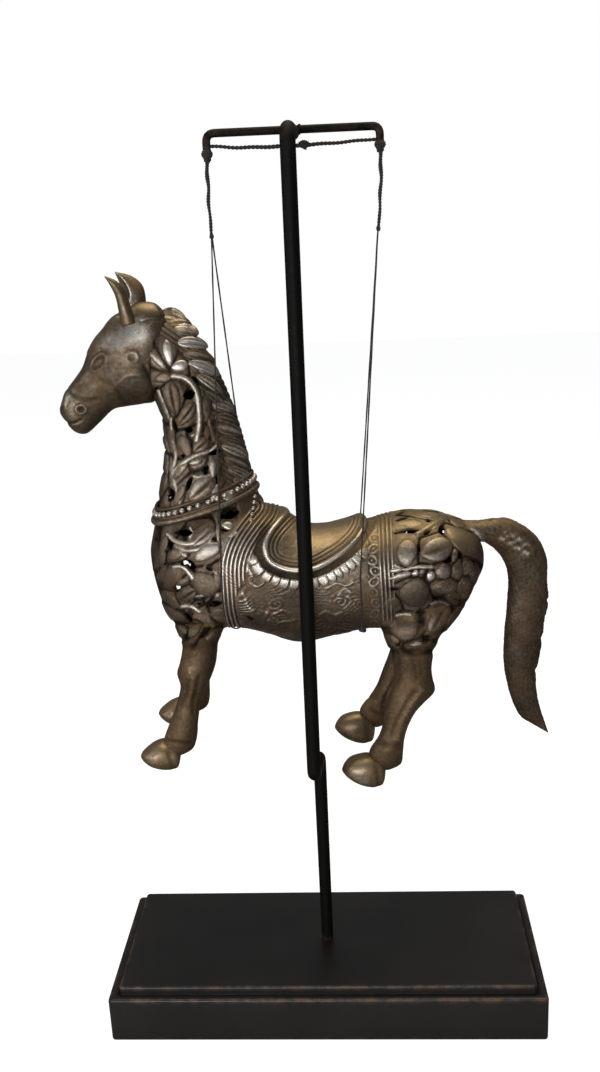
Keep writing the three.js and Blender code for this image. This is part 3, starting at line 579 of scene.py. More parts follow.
class Paint:
    """A material being mixed: its node tree, its shader, and short calls for the nodes that paints share."""

    def __init__(self, name):
        """A new material, its noise laid out by each piece's own coordinates."""
        self.material = bpy.data.materials.new(name)
        self.material.use_nodes = True
        self.tree = self.material.node_tree
        self.shader = self.tree.nodes["Principled BSDF"]
        self.place = self.tree.nodes.new("ShaderNodeTexCoord").outputs["Object"]

    def feed(self, socket, value):
        """Links a node's output to the socket, or sets the socket's own value."""
        if isinstance(value, bpy.types.NodeSocket):
            self.tree.links.new(value, socket)
        else:
            socket.default_value = (*value, 1) if isinstance(value, tuple) else value

    def node(self, kind, **inputs):
        """A node with its inputs fed by name."""
        made = self.tree.nodes.new(kind)
        for name, value in inputs.items():
            self.feed(made.inputs[name], value)
        return made

    def noise(self, scale, detail=4.0, rough=0.55):
        """Cloudy noise from 0 to 1 in the piece's own coordinates."""
        made = self.node("ShaderNodeTexNoise", Vector=self.place, Scale=scale, Detail=detail, Roughness=rough)
        return made.outputs["Fac"]

    def mark(self, name):
        """The float mark of that name on the mesh's points."""
        made = self.node("ShaderNodeAttribute")
        made.attribute_name = name
        return made.outputs["Fac"]

    def ramp(self, source, *stops):
        """Colour ramp: each stop is a place with a colour, or with a grey as one number."""
        made = self.node("ShaderNodeValToRGB", Fac=source)
        ramp = made.color_ramp
        while len(ramp.elements) < len(stops):
            ramp.elements.new(0.5)
        for element, (at, colour) in zip(ramp.elements, stops):
            element.position = at
            element.color = (*colour, 1) if isinstance(colour, tuple) else (colour, colour, colour, 1)
        return made.outputs["Color"]

    def maths(self, kind, a, b, clamp=False):
        """The node for one step of arithmetic."""
        made = self.node("ShaderNodeMath")
        made.operation = kind
        made.use_clamp = clamp
        self.feed(made.inputs[0], a)
        self.feed(made.inputs[1], b)
        return made.outputs[0]

    def plus(self, a, b, clamp=False):
        """Sum of two values."""
        return self.maths("ADD", a, b, clamp)

    def times(self, a, b, clamp=False):
        """Product of two values."""
        return self.maths("MULTIPLY", a, b, clamp)

    def mixed(self, share, a, b):
        """Colour a going over into colour b by the share."""
        made = self.node("ShaderNodeMix")
        made.data_type = "RGBA"
        for place, value in ((0, share), (6, a), (7, b)):
            self.feed(made.inputs[place], value)
        return made.outputs[2]

    def finish(self, height, strength, distance, **values):
        """Bump from the height, and the shader's sockets by name with _ for a space."""
        made = self.node("ShaderNodeBump", Strength=strength, Distance=distance, Height=height)
        self.feed(self.shader.inputs["Normal"], made.outputs[0])
        for name, value in values.items():
            self.feed(self.shader.inputs[name.replace("_", " ")], value)
        return self.material


def aged_bronze(name, middle=(0.165, 0.124, 0.086), pits=0.5, polish=0.24, rust=0.5):
    """Dark brown in the hollows, grey-brown between, a silvered wash on the raised work, matt brown patches
    and a tan film on top, partly painted top light: tan wherever the surface faces up."""
    paint = Paint(name)
    broad = paint.noise(38, 3)
    cloud = paint.noise(52, 5, 0.7)
    grain = paint.noise(420, 5, 0.65)
    fine = paint.noise(1500, 3, 0.6)
    relief = paint.mark("relief")
    worn = paint.plus(relief, paint.times(paint.maths("SUBTRACT", broad, 0.5), 0.5))
    worn = paint.plus(worn, paint.times(paint.maths("SUBTRACT", grain, 0.5), 0.5), True)
    shade = tuple(0.42 * v for v in middle)
    metal = paint.ramp(worn, (0.0, HOLLOW_BROWN), (0.3, shade), (0.55, middle), (0.95, SILVERED))
    patch = paint.ramp(cloud, (0.46, 0.0), (0.62, 1.0))
    patch = paint.times(patch, paint.ramp(worn, (0.15, 0.3), (0.4, rust), (0.8, 0.0)))
    metal = paint.mixed(patch, metal, RUST_BROWN)
    # tan on up-facing surfaces: partly a real film, partly painted top light
    film_and_top_light_share = paint.times(paint.mark("warm"), paint.plus(0.5, paint.times(grain, 0.6)), True)
    film_and_top_light_share = paint.times(film_and_top_light_share, paint.maths("MINIMUM", paint.times(relief, 2.4), 1.0), True)
    dull = paint.ramp(worn, (0.0, 0.7), (0.5, polish + 0.13), (1.0, polish))
    dull = paint.plus(dull, paint.times(patch, 0.25))
    height = paint.plus(paint.times(grain, pits), paint.times(fine, 0.35 * pits))
    return paint.finish(height, 0.6, 0.0007, Base_Color=paint.mixed(film_and_top_light_share, metal, TAN_FILM_AND_TOP_LIGHT), Metallic=0.85,
                        Roughness=paint.plus(dull, paint.times(grain, 0.1)))


def black_lacquer():
    """Satin black paint, brown wood showing along the worn edges, with a little dust."""
    paint = Paint("black_lacquer")
    broad = paint.noise(14, 4)
    grain = paint.noise(260, 5, 0.7)
    chips = paint.noise(90, 6, 0.75)
    wear = paint.times(paint.mark("edge"), paint.ramp(chips, (0.44, 0.0), (0.62, 1.0)), True)
    black = paint.mixed(broad, (0.0065, 0.006, 0.0052), (0.0115, 0.0105, 0.009))
    worn = paint.mixed(wear, black, (0.11, 0.06, 0.035))
    specks = paint.node("ShaderNodeTexVoronoi", Vector=paint.place, Scale=160.0)
    spot = paint.ramp(specks.outputs["Distance"], (0.0, 1.0), (0.075, 0.0))
    some = paint.ramp(paint.noise(26, 2), (0.6, 0.0), (0.7, 1.0))
    dust = paint.times(paint.times(spot, some), 0.55)
    return paint.finish(grain, 0.12, 0.0004, Base_Color=paint.mixed(dust, worn, (0.42, 0.38, 0.33)),
                        Roughness=paint.ramp(broad, (0.3, 0.34), (0.75, 0.48)))


def black_steel():
    """Satin black paint on steel rod, rubbed brown at the bends."""
    paint = Paint("black_steel")
    grain = paint.noise(300, 5, 0.65)
    chips = paint.noise(140, 5, 0.7)
    rub = paint.times(paint.mark("edge"), paint.ramp(chips, (0.4, 0.0), (0.7, 1.0)), True)
    black = paint.mixed(grain, (0.0026, 0.0024, 0.0021), (0.0052, 0.0047, 0.004))
    return paint.finish(grain, 0.2, 0.0004, Base_Color=paint.mixed(rub, black, (0.09, 0.055, 0.035)),
                        Specular_IOR_Level=0.09, Roughness=paint.ramp(grain, (0.3, 0.5), (0.7, 0.62)))


def black_cord():
    """Matt waxed black cord with a brown cast."""
    paint = Paint("black_cord")
    fibre = paint.noise(900, 4, 0.7)
    black = paint.mixed(fibre, (0.008, 0.006, 0.005), (0.03, 0.021, 0.016))
    return paint.finish(fibre, 0.4, 0.0003, Base_Color=black, Roughness=0.8, Sheen_Weight=0.15)


def floor_paint():
    """Pale matt floor that the eye sees lit evenly, as if by many lamps."""
    paint = Paint("floor_paint")
    tone = paint.noise(3, 2)
    ray = paint.node("ShaderNodeLightPath").outputs["Is Camera Ray"]
    paint.feed(paint.shader.inputs["Emission Strength"], paint.times(ray, 0.92))
    for name, value in (("Roughness", 0.9), ("Specular IOR Level", 0.1), ("Emission Color", (1, 1, 1)),
                        ("Base Color", paint.mixed(tone, (0.34, 0.34, 0.34), (0.37, 0.37, 0.37)))):
        paint.feed(paint.shader.inputs[name], value)
    return paint.material


# Stand: base, rod and crossbar

def base_ring(z, sides, front, back, radius, steps=6):
    """Loop of a rounded rectangle set in from the block's outline by its own inset at the sides, front and
    back."""
    x0, x1 = -BASE_LENGTH / 2 + sides, BASE_LENGTH / 2 - sides
    y0, y1 = -BASE_DEPTH / 2 + front, BASE_DEPTH / 2 - back
    turn = np.linspace(0, np.pi / 2, steps + 1)
    left, right, low, high = x0 + radius, x1 - radius, y0 + radius, y1 - radius
    corners = ((right, high), (left, high), (left, low), (right, low))
    loops = []
    for quarter, (cx, cy) in enumerate(corners):
        angle = turn + quarter * np.pi / 2
        x, y = cx + radius * np.cos(angle), cy + radius * np.sin(angle)
        loops.append(np.stack([x, y, np.full_like(angle, z)], -1))
    return np.concatenate(loops)


def make_base(paint):
    """Block and raised panel as one skin: rounded-rectangle rings up the side, over the edge, along the
    ledge, up the panel and in over its top. The mark edge is 1 on the rounded edges."""
    top, over = BASE_HEIGHT, PANEL_TOP
    corner = 2.5
    # height, inset and edge mark of each ring
    block = [(0, 1.0, 0.3), (0.35, 0.3, 0.5), (1.1, 0, 0.3), (3.5, 0, 0), (16, 0, 0), (top - 4, 0, 0.05),
             (top - 1.7, 0, 0.5), (top - 0.9, 0.12, 0.9), (top - 0.3, 0.55, 1), (top, 1.3, 0.8),
             (top, 2.6, 0.1)]
    panel = [(top, -0.55, 0), (top - 0.9, -0.25, 0), (top - 0.9, 0, 0), (top + 0.4, 0.02, 0.1),
             (top + 2, 0.02, 0), (over - 1.3, 0.02, 0.4), (over - 0.7, 0.12, 0.9), (over - 0.2, 0.45, 1),
             (over, 1.0, 0.7), (over, 2.4, 0.05), (over, 9, 0), (over, 24, 0), (over, 44, 0)]
    rings = [base_ring(z, i, i, i, max(corner - i * 0.6, 0.8)) for z, i, _ in block]
    rings += [base_ring(z, PANEL_SIDE + i, PANEL_FRONT + i, PANEL_BACK + i, max(corner - i, 0.4))
              for z, i, _ in panel]
    grid = np.stack(rings)
    edge = np.array([row[2] for row in block + panel])[:, None] * np.ones(grid.shape[1])
    verts, quads, caps = closed_skin(grid)
    base = make_piece("base_block", verts, (quads, caps), paint, {"edge": ends_too(edge)})
    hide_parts("base")


def make_rod(paint):
    """Round rod along its bent path, swelling a little over the first third; brown rub marks near the
    bends."""
    sides = 32
    jog_z = 188
    path = spaced(rounded_path([
        (0, 0, ROD_FOOT_Z), (0, 0, JOG_BACK_Z), (UPRIGHT_LOW_X, JOG_Y, JOG_FRONT_Z),
        (UPRIGHT_HIGH_X, JOG_Y, ROD_TOP_Z), (0, HORSE_Y + 1.2, ROD_TOP_Z),
    ], ROD_BEND, 12), 2.5)
    share = np.linspace(0, 1, len(path))
    radius = LOWER_ROD_R + (UPPER_ROD_R - LOWER_ROD_R) * np.clip(share * 3, 0, 1)
    height = path[:, 2]
    near_bend = np.exp(-np.minimum(np.abs(height - jog_z), np.abs(height - ROD_TOP_Z)) / 5)
    edge = np.clip(0.6 * near_bend + 0.5 * bump(height - PANEL_TOP, 3), 0, 1)[:, None] * np.ones(sides)
    verts, quads, caps = closed_skin(tube_grid(path, radius, sides))
    rod = make_piece("bent_rod", verts, (quads, caps), paint, {"edge": ends_too(edge)})
    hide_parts("post")


def make_crossbar(paint):
    """Thin round bar with its two ends bent down, and a weld bead where it lies on the rod's end."""
    sides = 20
    weld_half = 4.4
    weld_r = BAR_R * 1.02
    bead_r, bead_sides = 0.7, 8
    path = spaced(rounded_path([
        (BAR_LEFT, 0, BAR_Z - BAR_DROP_LEFT), (BAR_LEFT, 0, BAR_Z), (BAR_RIGHT, 0, BAR_Z),
        (BAR_RIGHT, 0, BAR_Z - BAR_DROP_RIGHT),
    ], BAR_BEND, 10), 1.5)
    ends = np.exp(-np.minimum(path[:, 0] - BAR_LEFT, BAR_RIGHT - path[:, 0]) / 4)
    edge = (0.25 + 0.6 * ends)[:, None] * np.ones(sides)
    parts = [(*closed_skin(to_world(tube_grid(path, BAR_R, sides))), {"edge": ends_too(edge)})]
    turn = ring_turns(40)
    weld = np.stack([0.35 * np.sin(5 * turn), weld_r * np.cos(turn), BAR_Z + weld_r * np.sin(turn)], -1)
    for at in (-weld_half, weld_half):
        loop = weld + [at, 0, 0]
        bead = to_world(tube_grid(np.concatenate([loop, loop[:2]]), bead_r, bead_sides))
        parts.append((*closed_skin(bead), {"edge": np.full(bead.shape[0] * bead_sides + 2, 0.6)}))
    verts, quads, caps, marks = merged(parts)
    piece = make_piece("cross_bar", verts, (quads, caps), paint, marks)
    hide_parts("crossbar")


# Cords

def twisted(path, radius, turns, depth=0.14, sides=12):
    """A cord laid or wrapped from thread: the radius swells by a cosine of the turn less the way along."""
    def ripple(share, turn):
        """How far the thread stands out at a share of the way and a turn."""
        return depth * radius_mean * np.cos(2 * turn - 2 * np.pi * turns * share)
    radius_mean = float(np.mean(radius))
    return tube_grid(path, radius, sides, ripple)


def coil(centre, radius, height, turns, thread):
    """A knot or lashing as a short helix of thread that closes in on itself at both ends."""
    t = np.linspace(0, 1, int(22 * turns))
    swell = radius * (0.55 + 0.45 * np.sin(np.pi * t))
    angle = 2 * np.pi * turns * t
    path = np.stack([swell * np.cos(angle), swell * np.sin(angle), height * (t - 0.5)], -1) + centre
    return tube_grid(path, thread, 8)


def knot(at, sizes):
    """A knot of the given radius, height, turns and thread."""
    return coil(np.array(at, float), *sizes)


def sling_loop(body, near_x, far_x, split_x):
    """The string's way round the horse: the outline that a tight loop takes in the upright plane through
    its near and far places, found by the furthest point in each direction, with the point where the strings
    part above it."""
    reach = 34
    lean_from = 400
    skew = math.atan2(far_x - near_x, 2 * reach)
    centre = (near_x + far_x) / 2
    dx = body[:, 0] - centre
    off = dx * math.cos(skew) - body[:, 1] * math.sin(skew)
    along = dx * math.sin(skew) + body[:, 1] * math.cos(skew)
    keep = (np.abs(off) < 1.6) & (body[:, 2] > BELLY_LOW)
    flat = np.stack([along[keep], body[keep, 2]], -1)
    angle = np.linspace(0, 2 * np.pi, 240, endpoint=False)
    ways = np.stack([np.cos(angle), np.sin(angle)], -1)
    # the body's furthest point in each direction, with the string's radius and a small gap outside it
    furthest = flat[(flat @ ways.T).argmax(0)] + ways * (STRING_R + STRING_GAP)
    split = np.array([0.0, SPLIT_Z])
    taken = (ways @ split)[:, None] > np.einsum("ij,ij->i", furthest, ways)[:, None]
    outline = np.where(taken, split, furthest)
    start = int(np.argmax(taken[:, 0]))
    outline = np.roll(outline, -start, axis=0)
    fresh = np.concatenate([[True], np.linalg.norm(np.diff(outline, axis=0), axis=1) > 1e-6])
    outline = outline[fresh]
    across, height = outline.T
    lean = np.clip((height - lean_from) / (SPLIT_Z - lean_from), 0, None) * (split_x - centre)
    loop = np.stack([centre + lean + across * math.sin(skew), across * math.cos(skew), height], -1)
    return spaced(loop, 2.5, closed=True)


def cord_piece(name, grids, paint):
    """Closed tubes of the horse's own plane as one black cord piece."""
    verts, quads, caps, _ = merged([(*closed_skin(to_world(grid)), {}) for grid in grids])
    return make_piece(name, verts, (quads, caps), paint)


def make_taut_cord(name, skin, paint):
    """A tube along a path, made as one cord piece."""
    cord = cord_piece(name, [skin], paint)
    return cord


def make_hanging_cord(paint, name, node_name, body, near_x, far_x, split_x, bar_x, knot_z, bulge, tied):
    """A knot on the bar's end, the wrapped length below it on a quadratic curve with a small wobble, and
    the thin string that goes once round the horse."""
    count = 260
    loop = sling_loop(body, near_x, far_x, split_x)
    t = np.linspace(0, 1, count)[:, None]
    top = np.array([bar_x, 0, knot_z + 1.0])
    middle = np.array([bar_x + (split_x - bar_x) * 0.4 + bulge * 1.4, 0, knot_z + (SPLIT_Z - knot_z) * 0.4])
    foot = np.array([split_x, 0, SPLIT_Z - 3.0])
    path = (1 - t) ** 2 * top + 2 * t * (1 - t) * middle + t ** 2 * foot
    path[:, 0] += 0.35 * np.sin(np.linspace(0, 17, count)) * np.sin(np.pi * t[:, 0])
    radius = WRAP_R * (1 - 0.35 * t[:, 0]) * (1 + 0.12 * np.sin(np.linspace(0, 23, count)))
    above = [knot((bar_x, 0, knot_z), BAR_KNOT), knot((bar_x, 0, knot_z - 3.2), BAR_HITCH)]
    below = [knot((split_x, 0, SPLIT_Z - 2.5), SPLIT_KNOT)]
    if tied:
        low = loop[loop[:, 2].argmin()]
        below += [knot(low + [0.4, 0, -1.8], BELLY_KNOT), knot(low + [1.4, -0.8, -2.6], BELLY_HITCH)]
    above = cord_piece(name + "_top_knots", above, paint)
    below = cord_piece(name + "_string_knots", below, paint)
    wrapped = make_taut_cord(name + "_wrapped", twisted(path, radius, 30),
                             paint)
    string = twisted(loop, STRING_R, len(loop) * 0.9, 0.1, 6)
    make_taut_cord(name + "_string", string, paint)
    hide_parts(node_name)


def make_tie_cord(paint):
    """The cord tied straight across under the crossbar, with its lashing beside the rod."""
    left, right = BAR_LEFT + 1.2, BAR_RIGHT - 1.2
    share = np.array([0, 0.2, 0.45, 0.6, 0.8, 1.0])
    rise = np.array([1.2, -0.2, -0.4, -0.3, 0.3, 1.2])
    fine = np.linspace(0, 1, 320)
    z = TIE_Z + catmull(rise[:, None], np.interp(fine, share, np.arange(6)))[:, 0]
    path = np.stack([left + (right - left) * fine, 0.2 * np.sin(fine * 9), z + 0.18 * np.sin(fine * 31)], -1)
    radius = TIE_R * (0.82 + 0.22 * bump(fine - 0.45, 0.25))
    lashing = knot((0, 0, 0), LASHING)[..., [2, 1, 0]] + [6.8, 0, TIE_Z + 0.1]
    knots = cord_piece("tie_lashing", [lashing, knot((7.4, -1.2, TIE_Z - 1.7), LASHING_KNOT)], paint)
    cord = make_taut_cord("tie_line", twisted(path, radius, 42),
                          paint)
    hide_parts("tie_cord")


# Horse: places on its side as the eye in front sees them

FLANK_PLANE = -31.0
MIDDLE_PLANE = 0.0
EYE = np.array([
    math.cos(YAW) * CAM_AT[0] + math.sin(YAW) * (CAM_AT[1] - HORSE_Y),
    -math.sin(YAW) * CAM_AT[0] + math.cos(YAW) * (CAM_AT[1] - HORSE_Y),
    CAM_AT[2],
])

# Leaves of the open work: x, z, half length, half width, turn in degrees, rise, bend, vein depth, tone and
# painted light (silvered tone with painted highlight, darker when negative)
FLANK_LEAVES = np.array([
    [-67.5, 356.6, 9.4, 3.6, 38, 1.3, -0.8, 0.35, 0.12],
    [-65, 345.8, 9.6, 4.6, 28, 1.6, 0.8, 0.0, 0.2],
    [-91.5, 352, 6.6, 2.2, 72, 0.8, 0.4, 0.0, 0.0],
    [-84.6, 346.2, 6.2, 3.4, 34, 0.9, 0.0, 0.0, 0.02],
    [-93.6, 345, 6.6, 2.4, 84, 0.6, 0.0, 0.0, -0.05],
    [-88, 331.5, 7.6, 5.6, 62, 0.9, 0.0, 0.0, -0.12],
    [-68, 325.6, 9.4, 7.4, -55, 1.0, 0.0, 0.0, -0.12],
    [-79.6, 319, 6.2, 4.2, 30, 0.9, 0.0, 0.2, -0.1],
    [-72, 317.6, 3.6, 1.2, 4, 0.9, 0.4, 0.0, 0.1],
    [-89.4, 315.8, 6.4, 2.4, -64, 0.7, 0.0, 0.0, 0.0],
    [-71, 304, 8.0, 4.2, -34, 1.0, 0.0, 0.0, -0.1],
    [-86.6, 304.5, 6.8, 2.8, -58, 0.7, 0.0, 0.0, -0.08],
    [-77, 295.6, 6.4, 3.2, 58, 0.9, 0.0, 0.0, -0.1],
    [-61.6, 304.6, 5.6, 4.0, 12, 0.9, 0.0, 0.0, -0.1],
    [-60.4, 327, 6.6, 2.6, 86, 0.8, 0.0, 0.0, -0.1],
    [-84.6, 297, 4.6, 2.0, -66, 0.5, 0.0, 0.0, -0.1],
    [-66.2, 290.4, 4.6, 2.2, 34, 0.6, 0.0, 0.0, 0.0],
    [-75.5, 309.6, 3.4, 1.6, 60, 0.7, 0.0, 0.0, -0.1],
    [-57.6, 358.5, 6.2, 1.4, 88, 0.8, 0.0, 0.0, 0.1],
    [-51.6, 362.6, 3.8, 2.5, -14, 1.4, 0.0, 0.0, 0.45],
    [-48.4, 356.6, 3.6, 1.3, 24, 1.0, 0.0, 0.0, 0.2],
    [-60.8, 317.4, 2.6, 1.8, 50, 0.7, 0.0, 0.0, 0.05],
    [-93.4, 334, 5.4, 2.2, 80, 0.5, 0.0, 0.0, -0.1],
    [-82.6, 327.6, 4.2, 2.0, 20, 0.7, 0.0, 0.0, -0.05],
    [58.8, 338, 8.8, 5.9, 84, 1.6, 0.0, 0.0, 0.16],
    [77.4, 339.8, 9.8, 7.4, 18, 1.6, -0.8, 0.3, 0.18],
    [93.6, 344, 12.6, 5.6, -44, 1.0, 0.8, 0.0, 0.04],
    [88.9, 334.6, 4.6, 1.7, 80, 0.9, 0.0, 0.0, 0.1],
    [81.4, 324.6, 4.9, 4.6, 0, 1.5, 0.0, 0.0, 0.12],
    [90.8, 324.4, 5.8, 3.4, 80, 1.0, 0.0, 0.0, -0.02],
    [97, 326.6, 4.8, 3.2, 80, 0.8, 0.0, 0.0, 0.05],
    [52.2, 327.6, 4.6, 1.8, 10, 1.1, 0.0, 0.0, 0.35],
    [54.4, 323, 8.0, 1.9, 12, 1.1, 0.5, 0.0, 0.3],
    [64, 324.6, 2.3, 1.7, 20, 1.0, 0.0, 0.0, 0.5],
    [68.4, 325.4, 2.6, 1.8, 50, 0.8, 0.0, 0.0, 0.05],
    [73.8, 322, 3.2, 2.4, 70, 0.7, 0.0, 0.0, 0.55],
    [63, 311.4, 9.6, 9.2, 0, 1.5, 0.0, 0.0, -0.14],
    [82.4, 314.4, 8.6, 4.8, 4, 1.3, 0.0, 0.0, 0.02],
    [94.6, 313.4, 6.4, 3.8, 62, 0.9, 0.0, 0.0, -0.05],
    [87.6, 307, 4.6, 3.4, 20, 0.9, 0.0, 0.0, -0.06],
    [78.4, 294, 11.4, 5.8, 62, 1.4, 0.0, 0.25, 0.05],
    [86.6, 292.6, 4.4, 1.8, 56, 0.4, 0.0, 0.0, -0.05],
    [48.6, 305, 5.6, 4.4, 10, 0.7, 0.0, 0.0, -0.15],
    [56.6, 288, 9.2, 8.4, 0, 1.2, 0.0, 0.0, -0.16],
    [49, 292, 4.6, 3.2, -40, 0.8, 0.0, 0.0, -0.1],
    [63.4, 276.8, 4.6, 1.6, 4, 0.9, -0.4, 0.0, 0.1],
    [49.6, 281, 4.0, 2.2, -50, 0.5, 0.0, 0.0, -0.1],
    [61, 357.4, 8.6, 2.6, -4, 0.7, 0.0, 0.0, 0.05],
    [73.5, 362.3, 6.6, 1.8, -6, 0.5, 0.0, 0.0, 0.0],
    [91, 356, 5.6, 2.0, -26, 0.6, 0.0, 0.0, 0.0],
    [76.5, 353.8, 2.6, 1.2, 30, 0.5, 0.0, 0.0, 0.0],
    [100.4, 322, 5.6, 1.8, 86, 0.4, 0.0, 0.0, -0.05],
])

NECK_LEAVES = np.array([
    [-81, 438, 10.6, 4.8, 97, 1.3, 0.6, 0.22, -0.05],
    [-73.8, 427.8, 9.2, 4.0, 50, 1.2, -0.5, 0.22, 0.0],
    [-86.4, 450.6, 5.6, 3.0, 10, 1.0, 0.4, 0.0, -0.05],
    [-89, 461.6, 7.8, 2.1, -50, 1.2, 0.6, 0.0, 0.1],
    [-81.8, 466, 8.0, 2.8, 95, 1.7, 0.0, 0.0, 0.45],
    [-75.5, 457.6, 5.2, 3.3, 12, 1.7, 0.0, 0.0, 0.5],
    [-66, 407.2, 6.4, 3.9, 38, 1.1, 0.0, 0.2, 0.08],
    [-76, 407.4, 7.8, 3.7, 108, 1.1, 0.0, 0.0, -0.02],
    [-58.7, 404.7, 3.4, 0.9, 36, 1.3, 0.0, 0.0, 0.6],
    [-67.6, 379, 10.8, 6.0, 40, 1.5, 0.0, 0.2, 0.14],
    [-84.4, 412, 9.0, 1.8, 88, 0.8, 0.4, 0.0, 0.0],
    [-59.4, 392, 6.8, 2.2, 86, 1.0, 0.0, 0.0, 0.1],
    [-80, 391.6, 7.5, 2.8, 48, 1.0, 0.8, 0.0, -0.02],
    [-86, 391, 10.0, 1.8, 88, 0.7, -0.4, 0.0, 0.0],
    [-60.4, 431, 9.0, 2.8, 86, 0.9, 0.0, 0.0, -0.08],
    [-59.6, 375.4, 6.6, 2.4, 68, 1.1, 0.0, 0.0, 0.25],
    [-70, 396.8, 4.6, 2.0, 14, 0.9, 0.0, 0.0, 0.05],
    [-82, 376, 7.6, 2.4, 60, 0.9, 0.0, 0.0, -0.05],
    [-91.2, 372.6, 4.8, 1.6, 80, 0.5, 0.0, 0.0, -0.1],
    [-50.4, 372.8, 4.6, 4.4, 0, 1.6, 0.0, 0.0, 0.25],
    [-70.6, 414, 1.6, 0.9, 20, 1.1, 0.0, 0.0, 0.5],
    [-61.5, 415, 4.4, 2.0, 84, 0.7, 0.0, 0.0, -0.1],
    [-86.2, 430, 7.2, 1.3, 104, 0.7, 0.0, 0.0, 0.1],
    [-87.6, 409, 5.6, 1.4, 104, 0.7, 0.0, 0.0, 0.1],
    [-88.6, 396, 7.2, 1.3, 84, 0.5, 0.0, 0.0, 0.05],
    [-90.6, 385, 6.4, 1.3, 76, 0.5, 0.0, 0.0, 0.0],
    [-66, 367.6, 4.0, 1.2, 10, 0.7, 0.0, 0.0, 0.0],
    [-66.4, 456, 4.4, 1.8, -52, 0.8, 0.0, 0.0, -0.05],
])

# Stems, as ridges along curves: half width, rise, tone and painted light (silvered tone with painted
# highlight), then points x z
NECK_STEMS = [
    (1.5, 1.5, 0.3, [(-80, 451.8), (-74, 450.4), (-69, 446.4), (-66, 440), (-65.4, 430), (-66, 420),
         (-68.4, 410.5)]),
    (1.5, 1.2, 0.0, [(-85, 390), (-80, 395), (-72, 400), (-64, 402.4), (-60, 402.8)]),
    (0.9, 0.9, 0.0, [(-83.5, 425), (-84, 414), (-82.5, 402), (-85, 392), (-84, 380), (-82, 370)]),
    (0.8, 0.8, 0.1, [(-90, 443), (-87.5, 434), (-86, 427)]),
    (1.0, 0.9, -0.1, [(-60, 446), (-58.5, 434), (-59.5, 422), (-57, 410)]),
    (0.9, 0.8, -0.05, [(-72, 387.6), (-66, 386.8), (-60, 388.4)]),
]
FLANK_STEMS = [
    (1.3, 1.4, 0.2, [(-88.5, 359.4), (-85, 355), (-79, 352.4), (-73, 352.6)]),
    (1.5, 1.2, 0.0, [(-84, 351.4), (-78, 348.2), (-70, 348.8), (-63.5, 353), (-60.6, 358)]),
    (1.2, 1.4, 0.25, [(-86.4, 338), (-82, 338), (-78.6, 335), (-75.6, 329.6)]),
    (0.9, 1.0, 0.25, [(-82, 347), (-78.6, 344.6)]),
    (1.1, 1.3, 0.3, [(-83.6, 311.4), (-78, 311.2), (-73, 307.4)]),
    (1.2, 1.0, 0.0, [(-67, 336.4), (-61.5, 333), (-58.4, 329)]),
    (0.8, 1.0, 0.3, [(-74.4, 362.4), (-73.6, 359.6), (-75, 357)]),
    (1.6, 1.4, 0.05, [(66, 350.4), (71, 353.4), (76, 356.6), (83, 360)]),
    (0.9, 1.1, 0.3, [(50, 331.6), (57, 327.4), (63, 328.4), (75, 328)]),
    (0.9, 1.0, 0.25, [(49.6, 296), (55, 297.4), (60.5, 296.6), (65.4, 292.6)]),
    (0.8, 0.9, 0.25, [(49.6, 295), (51, 292.4), (49.4, 289.6)]),
    (0.8, 0.9, 0.1, [(74, 303.4), (80, 304.6), (85, 302)]),
]

